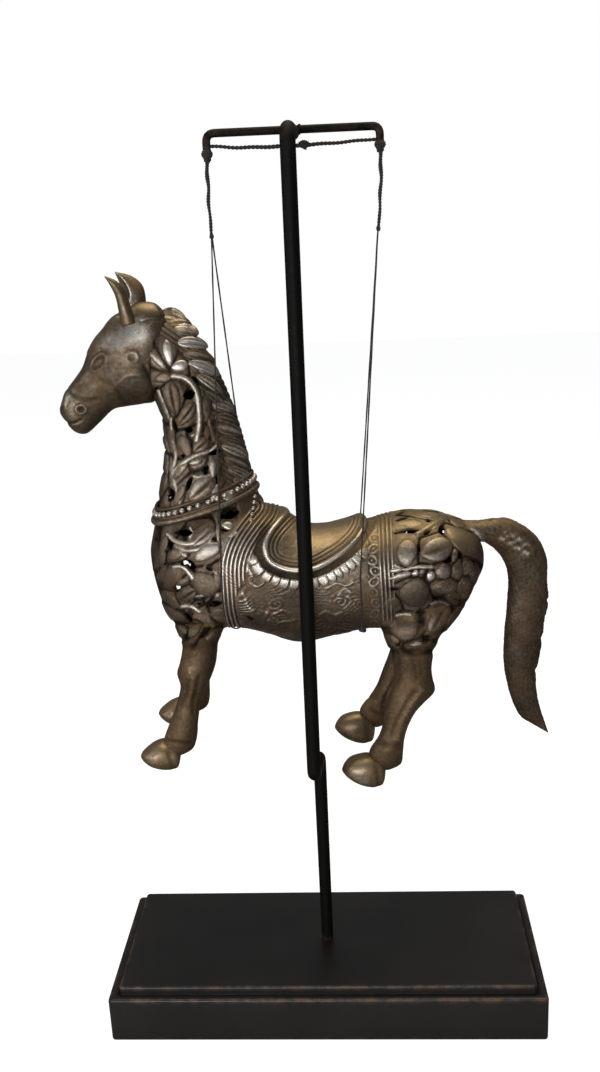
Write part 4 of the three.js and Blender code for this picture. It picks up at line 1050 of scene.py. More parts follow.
# Piercings: x, z, half length, half width, turn in degrees
NECK_HOLES = np.array([
    [-71, 439.6, 3.9, 3.3, 24], [-81.3, 420.6, 1.4, 4.3, 10], [-72.8, 417.5, 2.8, 2.2, 0],
    [-62.5, 416.5, 1.8, 2.4, 10],
    [-57.5, 402.2, 4.8, 1.7, 12], [-77.8, 401, 1.8, 1.3, 0], [-64, 391.3, 2.3, 3.6, -8],
    [-75.4, 382.6, 1.6, 4.8, -24],
    [-87, 377.3, 1.9, 4.4, 14], [-57.4, 384, 1.5, 2.8, 0], [-92.6, 366, 2.3, 2.2, 0],
    [-66.2, 448.6, 1.2, 3.2, 40],
    [-89, 374, 1.4, 2.4, 20],
])
FLANK_HOLES = np.array([
    [-49.4, 369.6, 6.2, 2.9, 15], [-78.6, 359.6, 5.6, 2.2, -4], [-88, 352.6, 2.0, 3.7, 12],
    [-75.4, 337.8, 2.3, 4.7, 22],
    [-79.6, 340, 2.7, 2.0, 20], [-64.6, 335.4, 2.5, 1.4, -30], [-85.8, 324.2, 2.6, 3.0, 12],
    [-62.6, 311.9, 3.8, 2.1, 8],
    [-80.2, 303.2, 4.4, 1.6, -54], [-70, 293.2, 5.0, 1.6, 48], [-82.5, 291.6, 2.0, 2.8, 6],
    [-60, 354.8, 1.7, 1.3, 0],
    [-53, 359.8, 2.4, 1.3, -6], [-62.6, 320.6, 1.0, 2.3, 0], [-79.6, 315.6, 0.9, 1.9, 20],
    [-72.4, 312.6, 1.5, 0.9, 0],
    [-96.6, 357, 0.9, 1.3, 0], [-40.8, 300.4, 3.2, 1.0, -38],
    [56.2, 360.4, 4.2, 1.1, 15], [61.6, 352.6, 5.6, 1.8, 0], [71.8, 350.8, 2.7, 1.2, 28],
    [81, 352.4, 2.3, 3.2, 6],
    [82.8, 345, 3.0, 1.3, -44], [72.6, 358.4, 1.3, 1.1, 20], [66.2, 340.2, 1.4, 3.6, -6],
    [85, 332.6, 3.0, 3.3, -30],
    [92.8, 334.6, 1.9, 3.2, 14], [78.3, 307.2, 4.0, 1.7, 2], [91.6, 306.6, 2.0, 2.6, 20],
    [87.8, 299.6, 2.3, 2.1, 30],
    [67, 295.2, 1.8, 5.8, 2], [70.8, 279.4, 3.0, 2.5, 8], [50.6, 314.8, 3.0, 0.9, -6],
    [51.4, 277.2, 1.8, 1.2, -30],
    [70.2, 321.6, 0.8, 2.0, -10], [86.4, 357.2, 1.6, 0.9, -24], [100, 330.6, 3.0, 0.8, -24],
    [55, 299.4, 2.2, 0.9, -10],
])
# Far-side piercings that lie behind near ones, so that light shows through: x, z, radius
FAR_HOLES = np.array([[-84.2, 319.8, 3.6], [-90.3, 307.7, 3.8], [64.8, 333.6, 3.6]])

# Centres of the piercings cut on the near side only: no light shows through them
NEAR_ONLY = np.array([[-71, 439.6], [-87, 377.3], [81, 352.4]])

# Flutes of the saddle cloth: the line along their front edge, x z
FLUTE_LINE = [(-35, 374), (-42, 366), (-49, 357), (-54, 347), (-56.8, 336), (-57.4, 320), (-57, 305),
              (-54.5, 294), (-50, 286)]

# Raised and sunk strokes between flutes, petals and belly: half width, rise, tone and painted light (painted
# highlight when positive, painted shade when negative), then points x z
CLOTH_STROKES = [
    (1.0, 0.7, 0.36, [(-38.5, 349), (-36.5, 342), (-33, 335.5)]),
    (1.0, 0.7, 0.32, [(-41.5, 341), (-40.5, 335), (-38.5, 329)]),
    (0.9, 0.6, 0.3, [(-46, 343), (-43.6, 341.5), (-41.6, 343)]),
    (0.9, 0.5, 0.24, [(-40, 325), (-36, 322), (-32, 323.5)]),
    (0.9, 0.5, 0.2, [(-45, 318), (-43, 311), (-40, 306)]),
    (1.4, -0.6, -0.4, [(-36.4, 345), (-35.4, 338), (-35, 333)]),
    (1.1, -0.5, -0.36, [(-43.6, 337), (-42.8, 330.5)]),
    (1.2, 0.6, 0.14, [(-50, 300), (-40, 295), (-28, 290.5), (-15, 287.5)]),
    (0.8, 0.5, 0.22, [(8, 318), (14, 321), (20, 319), (25, 321)]),
    (0.8, 0.5, 0.24, [(15, 313), (19, 316.5), (23, 314), (20, 311)]),
    (0.8, 0.4, 0.18, [(2, 300), (7, 302.5), (12, 300), (17, 301.5)]),
    (0.8, 0.4, 0.16, [(-33, 305), (-27, 303), (-21, 305), (-16, 302.5)]),
    (0.8, 0.4, 0.14, [(-30, 299), (-22, 297), (-13, 298)]),
]

# Scrolls on the saddle cloth: x, z, radius, hand
SCROLLS = np.array([
    [-37, 341, 4.2, 1], [-39, 327, 5.0, -1], [-36, 312, 6.2, 1], [-24, 309, 6.5, -1], [-27, 297, 6.0, 1],
    [-12, 305, 6.8, 1], [-8, 292, 6.0, -1], [4, 304, 6.6, -1], [9, 291, 6.2, 1], [17, 308, 6.4, 1],
    [21, 296, 6.0, -1], [27, 320, 4.6, -1], [29, 306, 5.0, 1], [24, 332, 3.4, 1],
])


def as_seen(points, plane):
    """Side-view place x, z of points: where the line from the eye to each one, taken on the near side,
    meets the upright plane y = plane. Far-side points are mirrored first, so both sides carry the same
    work."""
    near_y = -np.abs(points[..., 1])
    reach = (plane - EYE[1]) / (near_y - EYE[1])
    return EYE[0] + (points[..., 0] - EYE[0]) * reach, EYE[2] + (points[..., 2] - EYE[2]) * reach


class SideMap:
    """How far out the near side lies behind each place of an upright plane, and which way it faces,
    averaged into small cells from points of the smooth forms and read back by blending the four nearest
    cells."""

    def __init__(self, forms, plane, cell=1.5):
        """The map of several smooth forms, each given as its points and outward normals."""
        points, normals = (np.concatenate([form[k].reshape(-1, 3) for form in forms]) for k in (0, 1))
        keep = (points[:, 1] < 1.5) & (normals @ (EYE / np.linalg.norm(EYE)) > 0.02)
        points, normals = points[keep], normals[keep]
        self.plane, self.cell = plane, cell
        x, z = as_seen(points, plane)
        self.low = np.array([x.min() - 4, z.min() - 4])
        self.count = (np.ceil((np.array([x.max(), z.max()]) + 4 - self.low) / cell)).astype(int) + 1
        i = np.round((x - self.low[0]) / cell).astype(int)
        j = np.round((z - self.low[1]) / cell).astype(int)
        flat = i * self.count[1] + j
        total = int(self.count[0] * self.count[1])
        front = np.full(total, 1e9)
        np.minimum.at(front, flat, points[:, 1])
        near = points[:, 1] < front[flat] + 1.6
        layers = np.concatenate([points[near, 1:2], normals[near]], 1)
        weight = np.bincount(flat[near], minlength=total).astype(float)
        sums = np.stack([np.bincount(flat[near], layers[:, k], total) for k in range(4)], -1)
        table = sums / np.maximum(weight, 1)[:, None]
        self.table = self.filled(table.reshape(*self.count, 4), (weight > 0).reshape(self.count))

    @staticmethod
    def filled(table, known):
        """Empty cells take the mean of their known neighbours, a few times over; then one light blur."""
        for _ in range(14):
            total = np.zeros_like(table)
            weight = np.zeros(known.shape)
            for axis, way in ((0, 1), (0, -1), (1, 1), (1, -1)):
                total += np.roll(table * known[..., None], way, axis)
                weight += np.roll(known, way, axis)
            fresh = ~known & (weight > 0)
            table[fresh] = total[fresh] / weight[fresh][:, None]
            known = known | fresh
        soft = table.copy()
        for axis in (0, 1):
            soft = (np.roll(soft, 1, axis) + 2 * soft + np.roll(soft, -1, axis)) / 4
        return soft

    def at(self, x, z):
        """Points on the near side and outward directions behind places x, z of the plane."""
        u = np.clip((x - self.low[0]) / self.cell, 0, self.count[0] - 1.001)
        v = np.clip((z - self.low[1]) / self.cell, 0, self.count[1] - 1.001)
        i, j = np.floor(u).astype(int), np.floor(v).astype(int)
        s, t = (u - i)[..., None], (v - j)[..., None]
        grid = self.table
        found = ((grid[i, j] * (1 - s) + grid[i + 1, j] * s) * (1 - t)
                 + (grid[i, j + 1] * (1 - s) + grid[i + 1, j + 1] * s) * t)
        y = found[..., 0]
        reach = (y - EYE[1]) / (self.plane - EYE[1])
        point = np.stack([EYE[0] + (x - EYE[0]) * reach, y, EYE[2] + (z - EYE[2]) * reach], -1)
        normal = found[..., 1:4]
        return point, normal / np.maximum(np.linalg.norm(normal, axis=-1, keepdims=True), 1e-6)


def along_curve(x, z, points):
    """Signed distance to a smooth curve, positive on its right hand, and the distance travelled to the
    nearest place."""
    points = np.array(points, float)
    fine = catmull(points, np.linspace(0, len(points) - 1, 6 * len(points)))
    a, b = fine[:-1], fine[1:]
    way = b - a
    length = np.hypot(way[:, 0], way[:, 1])
    start = np.concatenate([[0], np.cumsum(length)[:-1]])
    dx, dz = x[..., None] - a[:, 0], z[..., None] - a[:, 1]
    t = np.clip((dx * way[:, 0] + dz * way[:, 1]) / length ** 2, 0, 1)
    off_x, off_z = dx - t * way[:, 0], dz - t * way[:, 1]
    apart = np.hypot(off_x, off_z)
    best = apart.argmin(-1)[..., None]

    def pick(values):
        """The value at each place's nearest stretch of the curve."""
        return np.take_along_axis(values, best, -1)[..., 0]

    side = np.sign(pick(off_x) * way[best[..., 0], 1] - pick(off_z) * way[best[..., 0], 0])
    return pick(apart) * np.where(side == 0, 1, side), start[best[..., 0]] + pick(t) * length[best[..., 0]]


def in_ovals(x, z, ovals, spare=0.0):
    """Places in each turned oval's own frame, in half lengths and half widths, each made larger by the
    spare."""
    angle = np.radians(ovals[:, 4])
    dx, dz = x[..., None] - ovals[:, 0], z[..., None] - ovals[:, 1]
    u = (dx * np.cos(angle) + dz * np.sin(angle)) / (ovals[:, 2] + spare)
    return u, (-dx * np.sin(angle) + dz * np.cos(angle)) / (ovals[:, 3] + spare)


def hole_field(x, z, holes, power=1.5):
    """About the distance outside the nearest piercing, negative inside: a rounded diamond's radius less
    one, times its narrower half width."""
    u, v = in_ovals(x, z, holes)
    radius = (np.abs(u) ** power + np.abs(v) ** power) ** (1 / power)
    return ((radius - 1) * np.minimum(holes[:, 2], holes[:, 3])).min(-1)


def side_gap(x, z, near, holes):
    """Distance outside the piercings that a place's own side has."""
    shared = holes[(np.abs(holes[:, None, :2] - NEAR_ONLY).max(-1) > 0.1).all(-1)]
    return np.where(near, hole_field(x, z, holes), hole_field(x, z, shared))


def far_gap(grid):
    """Distance outside the far side's own piercings, and a long way for places on the near side."""
    out = np.hypot(grid[..., 0:1] - FAR_HOLES[:, 0], grid[..., 2:3] - FAR_HOLES[:, 1]) - FAR_HOLES[:, 2]
    return np.where(grid[..., 1] > 0, out.min(-1), FAR_OFF)


def stroke_relief(x, z, strokes):
    """Rise and mark of raised or sunk strokes: a bell across each curve, summed."""
    rise, mark = np.zeros_like(x), np.zeros_like(x)
    for half, height, tone_and_painted_light, points in strokes:
        stroke = bump(along_curve(x, z, points)[0], half)
        rise += height * stroke
        # positive values paint highlight along the stroke, negative ones paint shade
        mark += tone_and_painted_light * stroke
    return rise, mark


def stem_relief(x, z, stems):
    """Rise, mark and nearness of the ridges along a set of stems."""
    rise, mark = np.zeros_like(x), np.zeros_like(x)
    for half, height, tone_and_painted_light, points in stems:
        off, _ = along_curve(x, z, points)
        ridge = np.clip(1 - (off / (half * 1.5)) ** 2, 0, 1) ** 0.7
        rise = np.maximum(rise, height * ridge)
        # the ridge's mark carries its silvered tone and painted highlight
        mark = np.maximum(mark, (0.62 + tone_and_painted_light) * ridge)
    return rise, mark


def plate_ground(x, z, leaves):
    """Ground between the leaves. A place belongs to the leaf whose oval is nearest; a dark crack runs where
    two leaves are equally near, and the ground sinks where even the nearest is far off."""
    u, v = in_ovals(x, z, leaves)
    apart = (np.hypot(u, v) - 1) * np.sqrt(leaves[:, 2] * leaves[:, 3]) * 0.85
    nearest = np.partition(apart, 1, axis=-1)[..., :2]
    seam = nearest[..., 1] - nearest[..., 0]
    plate = smooth_step(0.25, 1.7, seam)
    hollow = smooth_step(2.2, 4.6, nearest[..., 0])
    rise = -0.75 + 0.9 * plate - 0.5 * hollow
    mark = 0.05 + 0.36 * plate - 0.12 * hollow
    return rise, mark


def open_work(x, z, leaves, stems):
    """Rise and mark of the cracked ground between leaves, with the stems over it."""
    low, low_mark = plate_ground(x, z, leaves)
    stem, stem_mark = stem_relief(x, z, stems)
    rise = np.where(stem > 0, np.maximum(low, stem - 0.45), low)
    return rise, np.where(stem > 0, np.maximum(low_mark, 0.3 + 0.6 * stem_mark), low_mark)


def cloth_relief(x, z, seat):
    """Rise and mark of the scrolls and flowing lines low on the saddle cloth: cosines of a wandering
    height, turned into spirals round the scrolls."""
    drift = 3.2 * np.sin(x / 9.5 + 0.6) + 1.9 * np.sin(x / 4.3 + z / 5) + 1.3 * np.sin(z / 3.1 - x / 6)
    lines = np.cos(2 * np.pi * (z + drift) / 2.7)
    cover = np.zeros_like(x)
    for cx, cz, radius, hand in SCROLLS:
        share = 0.8 * np.exp(-(np.hypot(x - cx, z - cz) / radius) ** 3)
        curl = np.hypot(x - cx, 1.25 * (z - cz)) + 0.5 * np.sin(x / 2.3 + z / 3.1)
        spiral = np.cos(2 * np.pi * curl / 2.9 - hand * np.arctan2(z - cz, x - cx))
        lines = laid(lines, share, spiral)
        cover = np.maximum(cover, share)
    ends = smooth_step(35, 33, x)
    low = smooth_step(322, 314, z - 0.004 * (x + 3) ** 2) * smooth_step(-49, -46, x) * ends
    carve = np.clip(np.maximum(low, cover * smooth_step(-46, -43, x) * ends * (1 - seat)), 0, 1)
    chased = 0.45 + 0.55 * np.clip(np.sin(x / 5.3 + z / 8) * np.sin(z / 6.1 - x / 11) * 2, -0.6, 1)
    rise = 0.27 * carve * lines * chased
    # darker towards the belly: partly brown patina, partly painted shade
    mark = 0.52 + carve * (0.2 * lines * chased - 0.06) - 0.1 * smooth_step(312, 292, z)
    stroke, stroke_mark = stroke_relief(x, z, CLOTH_STROKES)
    return rise + stroke, mark + stroke_mark


def girth_relief(x, z, rise, mark, seat):
    """The flutes in front of the cloth, and the braided band and flutes behind it, laid over the rise and
    mark. Each brightens in a band near z 330 to 335: a painted highlight across the barrel's bulge."""
    flute = -along_curve(x, z, FLUTE_LINE)[0]
    width = 7.5 + 8.5 * smooth_step(312, 334, z)
    span = smooth_step(-0.8, 0.4, flute) * smooth_step(width + 0.6, width - 0.6, flute) * (1 - seat)
    wave = np.cos(2 * np.pi * (flute - 0.5) / 2.55)
    rise = laid(rise, span, 0.55 * wave + 0.35)
    # the flutes brighten about z 335: painted highlight
    mark = laid(mark, span, 0.46 + 0.34 * wave + 0.14 * bump(z - 335, 16))
    band = smooth_step(34.2, 35, x) * smooth_step(41.4, 40.6, x)
    loops = np.hypot(x - 38 - 1.2 * np.sin(z / 3.4), (z % 7.2) - 3.6)
    braid = np.cos(2 * np.pi * loops / 2.8) * (0.35 + 0.65 * bump(z - 333, 18))
    rise = laid(rise, band, 0.3 * braid)
    # the braid brightens about z 330: painted highlight
    mark = laid(mark, band, 0.44 + 0.26 * braid + 0.12 * bump(z - 330, 14))
    ribs = smooth_step(41.0, 41.8, x) * smooth_step(50.9, 50.1, x)
    rib = np.cos(2 * np.pi * (x - 42.4 + 0.03 * (z - 320)) / 2.6)
    rise = laid(rise, ribs, 0.45 * rib + 0.3)
    # the ribs brighten about z 332: painted highlight
    return rise, laid(mark, ribs, 0.42 + 0.3 * rib + 0.16 * bump(z - 332, 14))


def saddle_relief(x, z):
    """Rim, grooves, petals, flutes and scrolls of the saddle and its cloth, as rise in millimetres and
    relief mark. Each lies at its own distance outside or inside the rim's curve."""
    off, way = along_curve(x, z, SADDLE_RIM)
    ends = smooth_step(36, 33, x)
    seat = smooth_step(1.0, -1.0, off) * smooth_step(325, 332, z) * smooth_step(-32, -28, x) * ends
    rise, mark = girth_relief(x, z, *cloth_relief(x, z, seat), seat)
    # the dark band outside the rim, then the petals
    outside = smooth_step(0.8, 1.8, off) * smooth_step(6.4, 5.4, off) * smooth_step(366, 358, z)
    rise -= 0.5 * outside
    mark = laid(mark, outside, 0.2)
    across = (way / 4.6 + 0.12 * np.sin(way / 7)) % 1 - 0.5
    tip = 13.2 - 3.2 * (2 * across) ** 2
    row = smooth_step(5.7, 6.3, off) * smooth_step(tip + 0.6, tip - 0.6, off) * smooth_step(27, 31, way)
    row *= smooth_step(344, 339, z)
    petal = np.clip(1 - np.abs(2.03 * across) ** 9, 0, 1) ** 0.6
    fall = smooth_step(14.5, 6, off)
    rise = laid(rise, row, (0.35 + 0.5 * fall) * petal - 0.1)
    mark = laid(mark, row, 0.32 + (0.2 + 0.46 * fall) * petal)
    # seat, its grooves and beading, and the rim
    rise = laid(rise, seat, 0.25)
    mark = laid(mark, seat, 0.62)
    for at, depth, half in ((-2.7, 0.6, 0.5), (-5.2, 0.5, 0.5), (-7.6, 0.4, 0.45)):
        groove = bump(off - at, half) * smooth_step(326, 331, z) * seat
        rise -= depth * groove
        mark -= 0.5 * groove
    bead = np.clip(np.cos(2 * np.pi * way / 1.9), 0, 1) * bump(off + 3.9, 0.6) * seat
    rim = np.clip(1 - (off / 1.7) ** 2, 0, 1) ** 0.6 * ends
    rise += 0.35 * bead + 1.5 * rim
    mark += 0.1 * bead - 0.22 * bump(off + 3.9, 0.7) * seat
    return rise, laid(mark, rim, 1.05)


def barrel_relief(x, z):
    """Rise and mark over the barrel: saddle work in the middle, cracked ground and stems in the open work."""
    rise, mark = saddle_relief(x, z)
    chest = smooth_step(-57.4, -58.6, x)
    chest = chest + smooth_step(376, 380, z + 0.6 * (x + 48)) * smooth_step(-44, -47, x)
    chest = np.maximum(chest, smooth_step(-43.5, -45.5, x) * smooth_step(360, 363, z - 0.55 * (x + 48)))
    ground = np.clip(chest + smooth_step(50.4, 51.6, x), 0, 1)
    work, work_mark = open_work(x, z, FLANK_LEAVES, FLANK_STEMS)
    return laid(rise, ground, work), laid(mark, ground, work_mark)


def body_form(points):
    """About the distance outside the barrel, from its top and bottom lines and half width at each x."""
    x, y, z = points[..., 0], points[..., 1], points[..., 2]
    top = np.interp(x, BODY[8:, 2], BODY[8:, 3])
    bottom = np.interp(x, BODY[9:, 0], BODY[9:, 1])
    half = np.interp(x, (BODY[7:, 0] + BODY[7:, 2]) / 2, BODY[7:, 4])
    tall = np.maximum((top - bottom) / 2, 1)
    up = (z - (top + bottom) / 2) / tall
    radius = (np.abs(up) ** TRUNK_SQUARE + np.abs(y / half) ** TRUNK_SQUARE) ** (1 / TRUNK_SQUARE)
    return (radius - 1) * np.minimum(tall, half)


def leg_form(points, rows):
    """About the distance outside a leg of either side, from its front and back lines and half width at each
    height."""
    x, y, z = points[..., 0], np.abs(points[..., 1]), points[..., 2]
    height = (rows[:, 1] + rows[:, 3]) / 2
    order = np.argsort(height)
    front, back, half, out = (np.interp(z, height[order], rows[order, k]) for k in (0, 2, 4, 5))
    long = (back - front) / 2
    radius = np.hypot((x - (front + back) / 2) / long, (y - out) / half)
    return (radius - 1) * np.minimum(long, half)


def blend_push(other, reach=8.0):
    """How far a surface moves out where it comes near another form, so that the two meet in a soft fillet."""
    h = np.clip(reach - np.abs(other), 0, None) / reach
    return np.clip(h * h * reach / 4 - np.minimum(0.0, other), 0, 2.8)


def fillet_body(grid, normals):
    """Trunk moved out where the legs leave it."""
    push = np.maximum(blend_push(leg_form(grid, FORELEG)), blend_push(leg_form(grid, HINDLEG)))
    fade = smooth_step(312, 302, grid[..., 2]) * smooth_step(266, 274, grid[..., 2])
    return grid + normals * (push * fade)[..., None]


def fillet_leg(grid, normals):
    """Leg moved out where it enters the body."""
    push = blend_push(body_form(grid)) * smooth_step(262, 272, grid[..., 2])
    return grid + normals * push[..., None]


def outward(grid, normals):
    """Normals turned so that they point away from the middle of their ring."""
    away = grid - grid.mean(axis=1, keepdims=True)
    sign = np.sign(np.einsum("ijk,ijk->ij", away, normals).sum())
    return normals * (sign if sign != 0 else 1)


def snapped(grid, holes, plane):
    """Moves the points next to each piercing onto its edge, and gives every point's distance outside the
    piercings."""
    x, z = as_seen(grid, plane)
    step = 0.15
    near = grid[..., 1] < 0
    gap = side_gap(x, z, near, holes)
    gx = (side_gap(x + step, z, near, holes) - gap) / step
    gz = (side_gap(x, z + step, near, holes) - gap) / step
    size = np.maximum(gx ** 2 + gz ** 2, 0.2)
    edge = np.abs(gap) < 0.6 * CELL
    shift = np.where(edge, -gap / size, 0)
    moved = grid.copy()
    moved[..., 0] += gx * shift
    moved[..., 2] += gz * shift
    return moved, np.minimum(np.where(edge, 0.0, gap), far_gap(grid))


def pierced_skin(grid, normals, gap, marks, cap_start, cap_end):
    """Points, quads and caps of a shell whose faces inside the piercings are left out and whose edges there
    turn in by the wall's thickness."""
    rows, columns = grid.shape[:2]
    verts = grid.reshape(-1, 3)
    flat_normals = normals.reshape(-1, 3)
    flat_gap = gap.ravel()
    quads = grid_faces(rows, columns)
    if volume_of(verts, quads) < 0:
        quads = quads[:, ::-1]
    quads = quads[flat_gap[quads].mean(1) > 0]
    edges = np.concatenate([quads[:, [0, 1]], quads[:, [1, 2]], quads[:, [2, 3]], quads[:, [3, 0]]])
    _, first, times = np.unique(np.sort(edges, 1), axis=0, return_index=True, return_counts=True)
    rim = edges[first[times == 1]]
    end_row = (rim < columns).all(1) | (rim >= (rows - 1) * columns).all(1)
    rim = rim[~end_row]
    used, places = np.unique(rim, return_inverse=True)
    inner = verts[used] - flat_normals[used] * WALL
    places = places.reshape(rim.shape) + len(verts)
    rim_quads = np.stack([rim[:, 1], rim[:, 0], places[:, 0], places[:, 1]], -1)
    out_marks = {}
    for key, values in marks.items():
        # the inner walls of the piercings keep a quarter of each mark: painted shade
        shaded_inner_mark = values.ravel()[used] * 0.25
        out_marks[key] = np.concatenate([values.ravel(), shaded_inner_mark])
    verts = np.concatenate([verts, inner])
    quads = np.concatenate([quads, rim_quads])
    caps = [np.zeros((0, 3), int)]
    for wanted, row, inward in ((cap_start, 0, 2), (cap_end, rows - 1, rows - 3)):
        if wanted:
            ring = np.arange(columns) + row * columns
            fan = np.stack([np.full(columns, len(verts)), ring, np.roll(ring, -1)], -1)
            verts = np.concatenate([verts, grid[row].mean(0)[None]])
            for key in out_marks:
                out_marks[key] = np.append(out_marks[key], marks[key][row].mean())
            ahead = grid[row].mean(0) - grid[inward].mean(0)
            face = np.cross(verts[fan[:, 1]] - verts[fan[:, 0]], verts[fan[:, 2]] - verts[fan[:, 0]]).sum(0)
            caps.append(fan if face @ ahead > 0 else fan[:, [0, 2, 1]])
    return verts, quads, np.concatenate(caps), out_marks


def film_and_top_light_mask(normals):
    """Share of the tan film together with painted top light, strongest where the surface looks up."""
    return smooth_step(0.28, 0.85, normals[..., 2])


def bronze_skin(grid, mark, warm):
    """Closed skin of a grid with its relief mark and its mark of tan film and painted top light."""
    level = np.zeros(grid.shape[:2])
    return (*closed_skin(grid), {"relief": ends_too(mark + level), "warm": ends_too(warm + level)})


def cast_piece(name, parts, paint):
    """Skins of the horse's own plane as one piece of the casting."""
    verts, quads, tris, marks = merged(parts)
    return make_piece(name, to_world(verts), (quads, tris), paint, marks)


# Horse: the hollow pierced trunk

def collar_place(turn, shift=0.0):
    """Station of the collar's line at a turn: nearer the poll along the crest, lower on the breast."""
    return COLLAR_STATION + shift - COLLAR_TILT * np.cos(turn)


def trunk_point(place, turn):
    """Point of the smooth trunk at a station and a turn round its ring."""
    at = catmull(BODY, place.ravel()).reshape(*place.shape, 6)
    c, s = squarish(turn, TRUNK_SQUARE)
    x = (at[..., 0] + at[..., 2]) / 2 + (at[..., 2] - at[..., 0]) / 2 * c
    z = (at[..., 1] + at[..., 3]) / 2 + (at[..., 3] - at[..., 1]) / 2 * c
    return np.stack([x, at[..., 4] * s * (1 - at[..., 5] * c), z], -1)


def trunk_grid(start, end, rows, sides, start_line=False, end_line=False):
    """Smooth trunk between two stations, with outward normals and the turn of each column. A start or end
    line bends the first or last rows to the collar's tilt."""
    places = even_places(BODY, start, end, rows)
    turn = np.broadcast_to(ring_turns(sides), (rows, sides))
    share = np.linspace(0, 1, rows)[:, None]
    tilt = -COLLAR_TILT * np.cos(turn)
    bent = places[:, None] + tilt * (start_line * (1 - share) ** 8 + end_line * share ** 5)
    grid = trunk_point(bent, turn)
    return grid, outward(grid, grid_normals(grid)), turn, bent


def make_lining(paint, rows=150, sides=96):
    """Inner face of the casting: the trunk set in by the lining's depth, with the same piercings, coloured
    near-black with painted shade.
    """
    grid, normals, turn, places = trunk_grid(0.5, 22.4, rows, sides)
    near = grid[..., 1] < 0
    neck = side_gap(*as_seen(grid, MIDDLE_PLANE), near, NECK_HOLES)
    flank = side_gap(*as_seen(grid, FLANK_PLANE), near, FLANK_HOLES)
    gap = np.minimum(np.where(places < collar_place(turn), neck, flank), far_gap(grid)) - 0.3
    verts, quads, caps = closed_skin(grid - normals * LINING_DEPTH)
    inside = np.concatenate([gap.ravel(), [9, 9]])
    quads = quads[inside[quads].mean(1) > 0][:, ::-1]
    # the inner face gets a near-black relief mark and no tan: painted shade inside the hollow body
    inside_shade = np.full(len(verts), 0.06)
    cast_piece("inner_face", [(verts, quads, caps[:, ::-1], {"relief": inside_shade, "warm": inside_shade * 0})], paint)


def pierced_piece(paint, name, grid, normals, gap, rise, mark, cap_start, cap_end):
    """Piece of the trunk moved out by its relief, with its piercings."""
    marks = {"relief": np.clip(mark, 0, 1), "warm": film_and_top_light_mask(normals)}
    skin = grid + normals * rise[..., None]
    cast_piece(name, [pierced_skin(skin, normals, gap, marks, cap_start, cap_end)], paint)


def trunk_piece(paint, name, start, end, rows, start_line, cap_end, sides=420):
    """Part of the pierced trunk: rings moved out by the saddle and cloth relief, sunk round the open work and
    pierced."""
    grid, normals, _, _ = trunk_grid(start, end, rows, sides, start_line)
    grid, gap = snapped(fillet_body(grid, normals), FLANK_HOLES, FLANK_PLANE)
    rise, mark = barrel_relief(*as_seen(grid, FLANK_PLANE))
    rise = rise * smooth_step(112, 108, grid[..., 0])
    mark = mark - 0.12 * smooth_step(2.2, 0, gap)
    pierced_piece(paint, name, grid, normals, gap, rise, mark, False, cap_end)


def make_barrel(paint):
    """Breast, barrel and rump: one casting, its mesh split at two rings so that each part stays light."""
    trunk_piece(paint, "horse_breast", COLLAR_STATION - 0.16, BREAST_STATION, 230, True, False)
    trunk_piece(paint, "horse_barrel", BREAST_STATION, SPLIT_STATION, 150, False, False)
    trunk_piece(paint, "horse_rump", SPLIT_STATION, LAST_STATION, 130, False, True)


def make_neck(paint, rows=200, sides=220):
    """Neck: the trunk's rings from poll to collar, pierced ahead of the mane and combed with hair lines
    along the crest."""
    grid, normals, turn, _ = trunk_grid(0, COLLAR_STATION - 0.08, rows, sides, False, True)
    grid, gap = snapped(grid, NECK_HOLES, MIDDLE_PLANE)
    x, z = as_seen(grid, MIDDLE_PLANE)
    rise, mark = open_work(x, z, NECK_LEAVES, NECK_STEMS)
    crest = smooth_step(0.18, 0.62, np.cos(turn))
    hair = np.cos(2 * np.pi * (z + 0.75 * x) / 3.3 + 1.6 * np.sin(z / 6 + x / 9))
    rise = laid(rise, crest, 0.28 * hair + 0.1)
    mark = laid(mark, crest, 0.36 + 0.12 * hair)
    pierced_piece(paint, "horse_neck", grid, normals, gap, rise, mark, True, False)


# Horse: leaves, mane, collar and beads laid on the trunk

def leaf_skin(sheet, row, side, rows=13, around=20, strands=0, depth=1.3, flat=0.42):
    """A domed leaf on the sheet: pointed oval in the side view, its rim sunk below the ground, with a vein
    groove or hair strands along it."""
    x, z, long, wide, turn, rise, bend, vein, tone_and_painted_light = row
    s = -np.cos(np.linspace(0.05, np.pi - 0.05, rows))[:, None]
    phi = ring_turns(around)[None, :]
    c, up = np.cos(phi), np.sin(phi)
    width = 1.12 * wide * (1 - s ** 2) ** 0.62 * (1 + 0.18 * s)
    u = 1.06 * s * long + 0 * phi
    v = width * c + bend * (1 - s ** 2)
    angle = math.radians(turn)
    px = x + u * math.cos(angle) - v * math.sin(angle)
    pz = z + u * math.sin(angle) + v * math.cos(angle)
    point, normal = sheet.at(px, pz)
    top = np.clip(up, 0, 1) ** flat * (1 - s ** 2) ** (0.6 * flat)
    height = -0.8 + (rise + 0.8) * top - depth * np.clip(-up, 0, 1)
    # the row's last value adds its silvered tone and painted highlight
    mark = 0.22 + 0.34 * top + 0.7 * tone_and_painted_light
    upper = (up > 0.05) * (1 - s ** 2)
    if vein:
        groove = bump(c, 0.15) * upper
        height -= vein * groove
        mark -= 0.5 * groove
    if strands:
        comb = np.cos(2 * np.pi * strands * c * 0.5 + 0.6 * s) * upper
        height += 0.3 * comb
        mark += 0.2 * comb
    skin = point + normal * height[..., None]
    skin[..., 1] *= -side
    return bronze_skin(skin, np.clip(mark, 0.05, 1), film_and_top_light_mask(normal) * (0.6 if strands else 1))


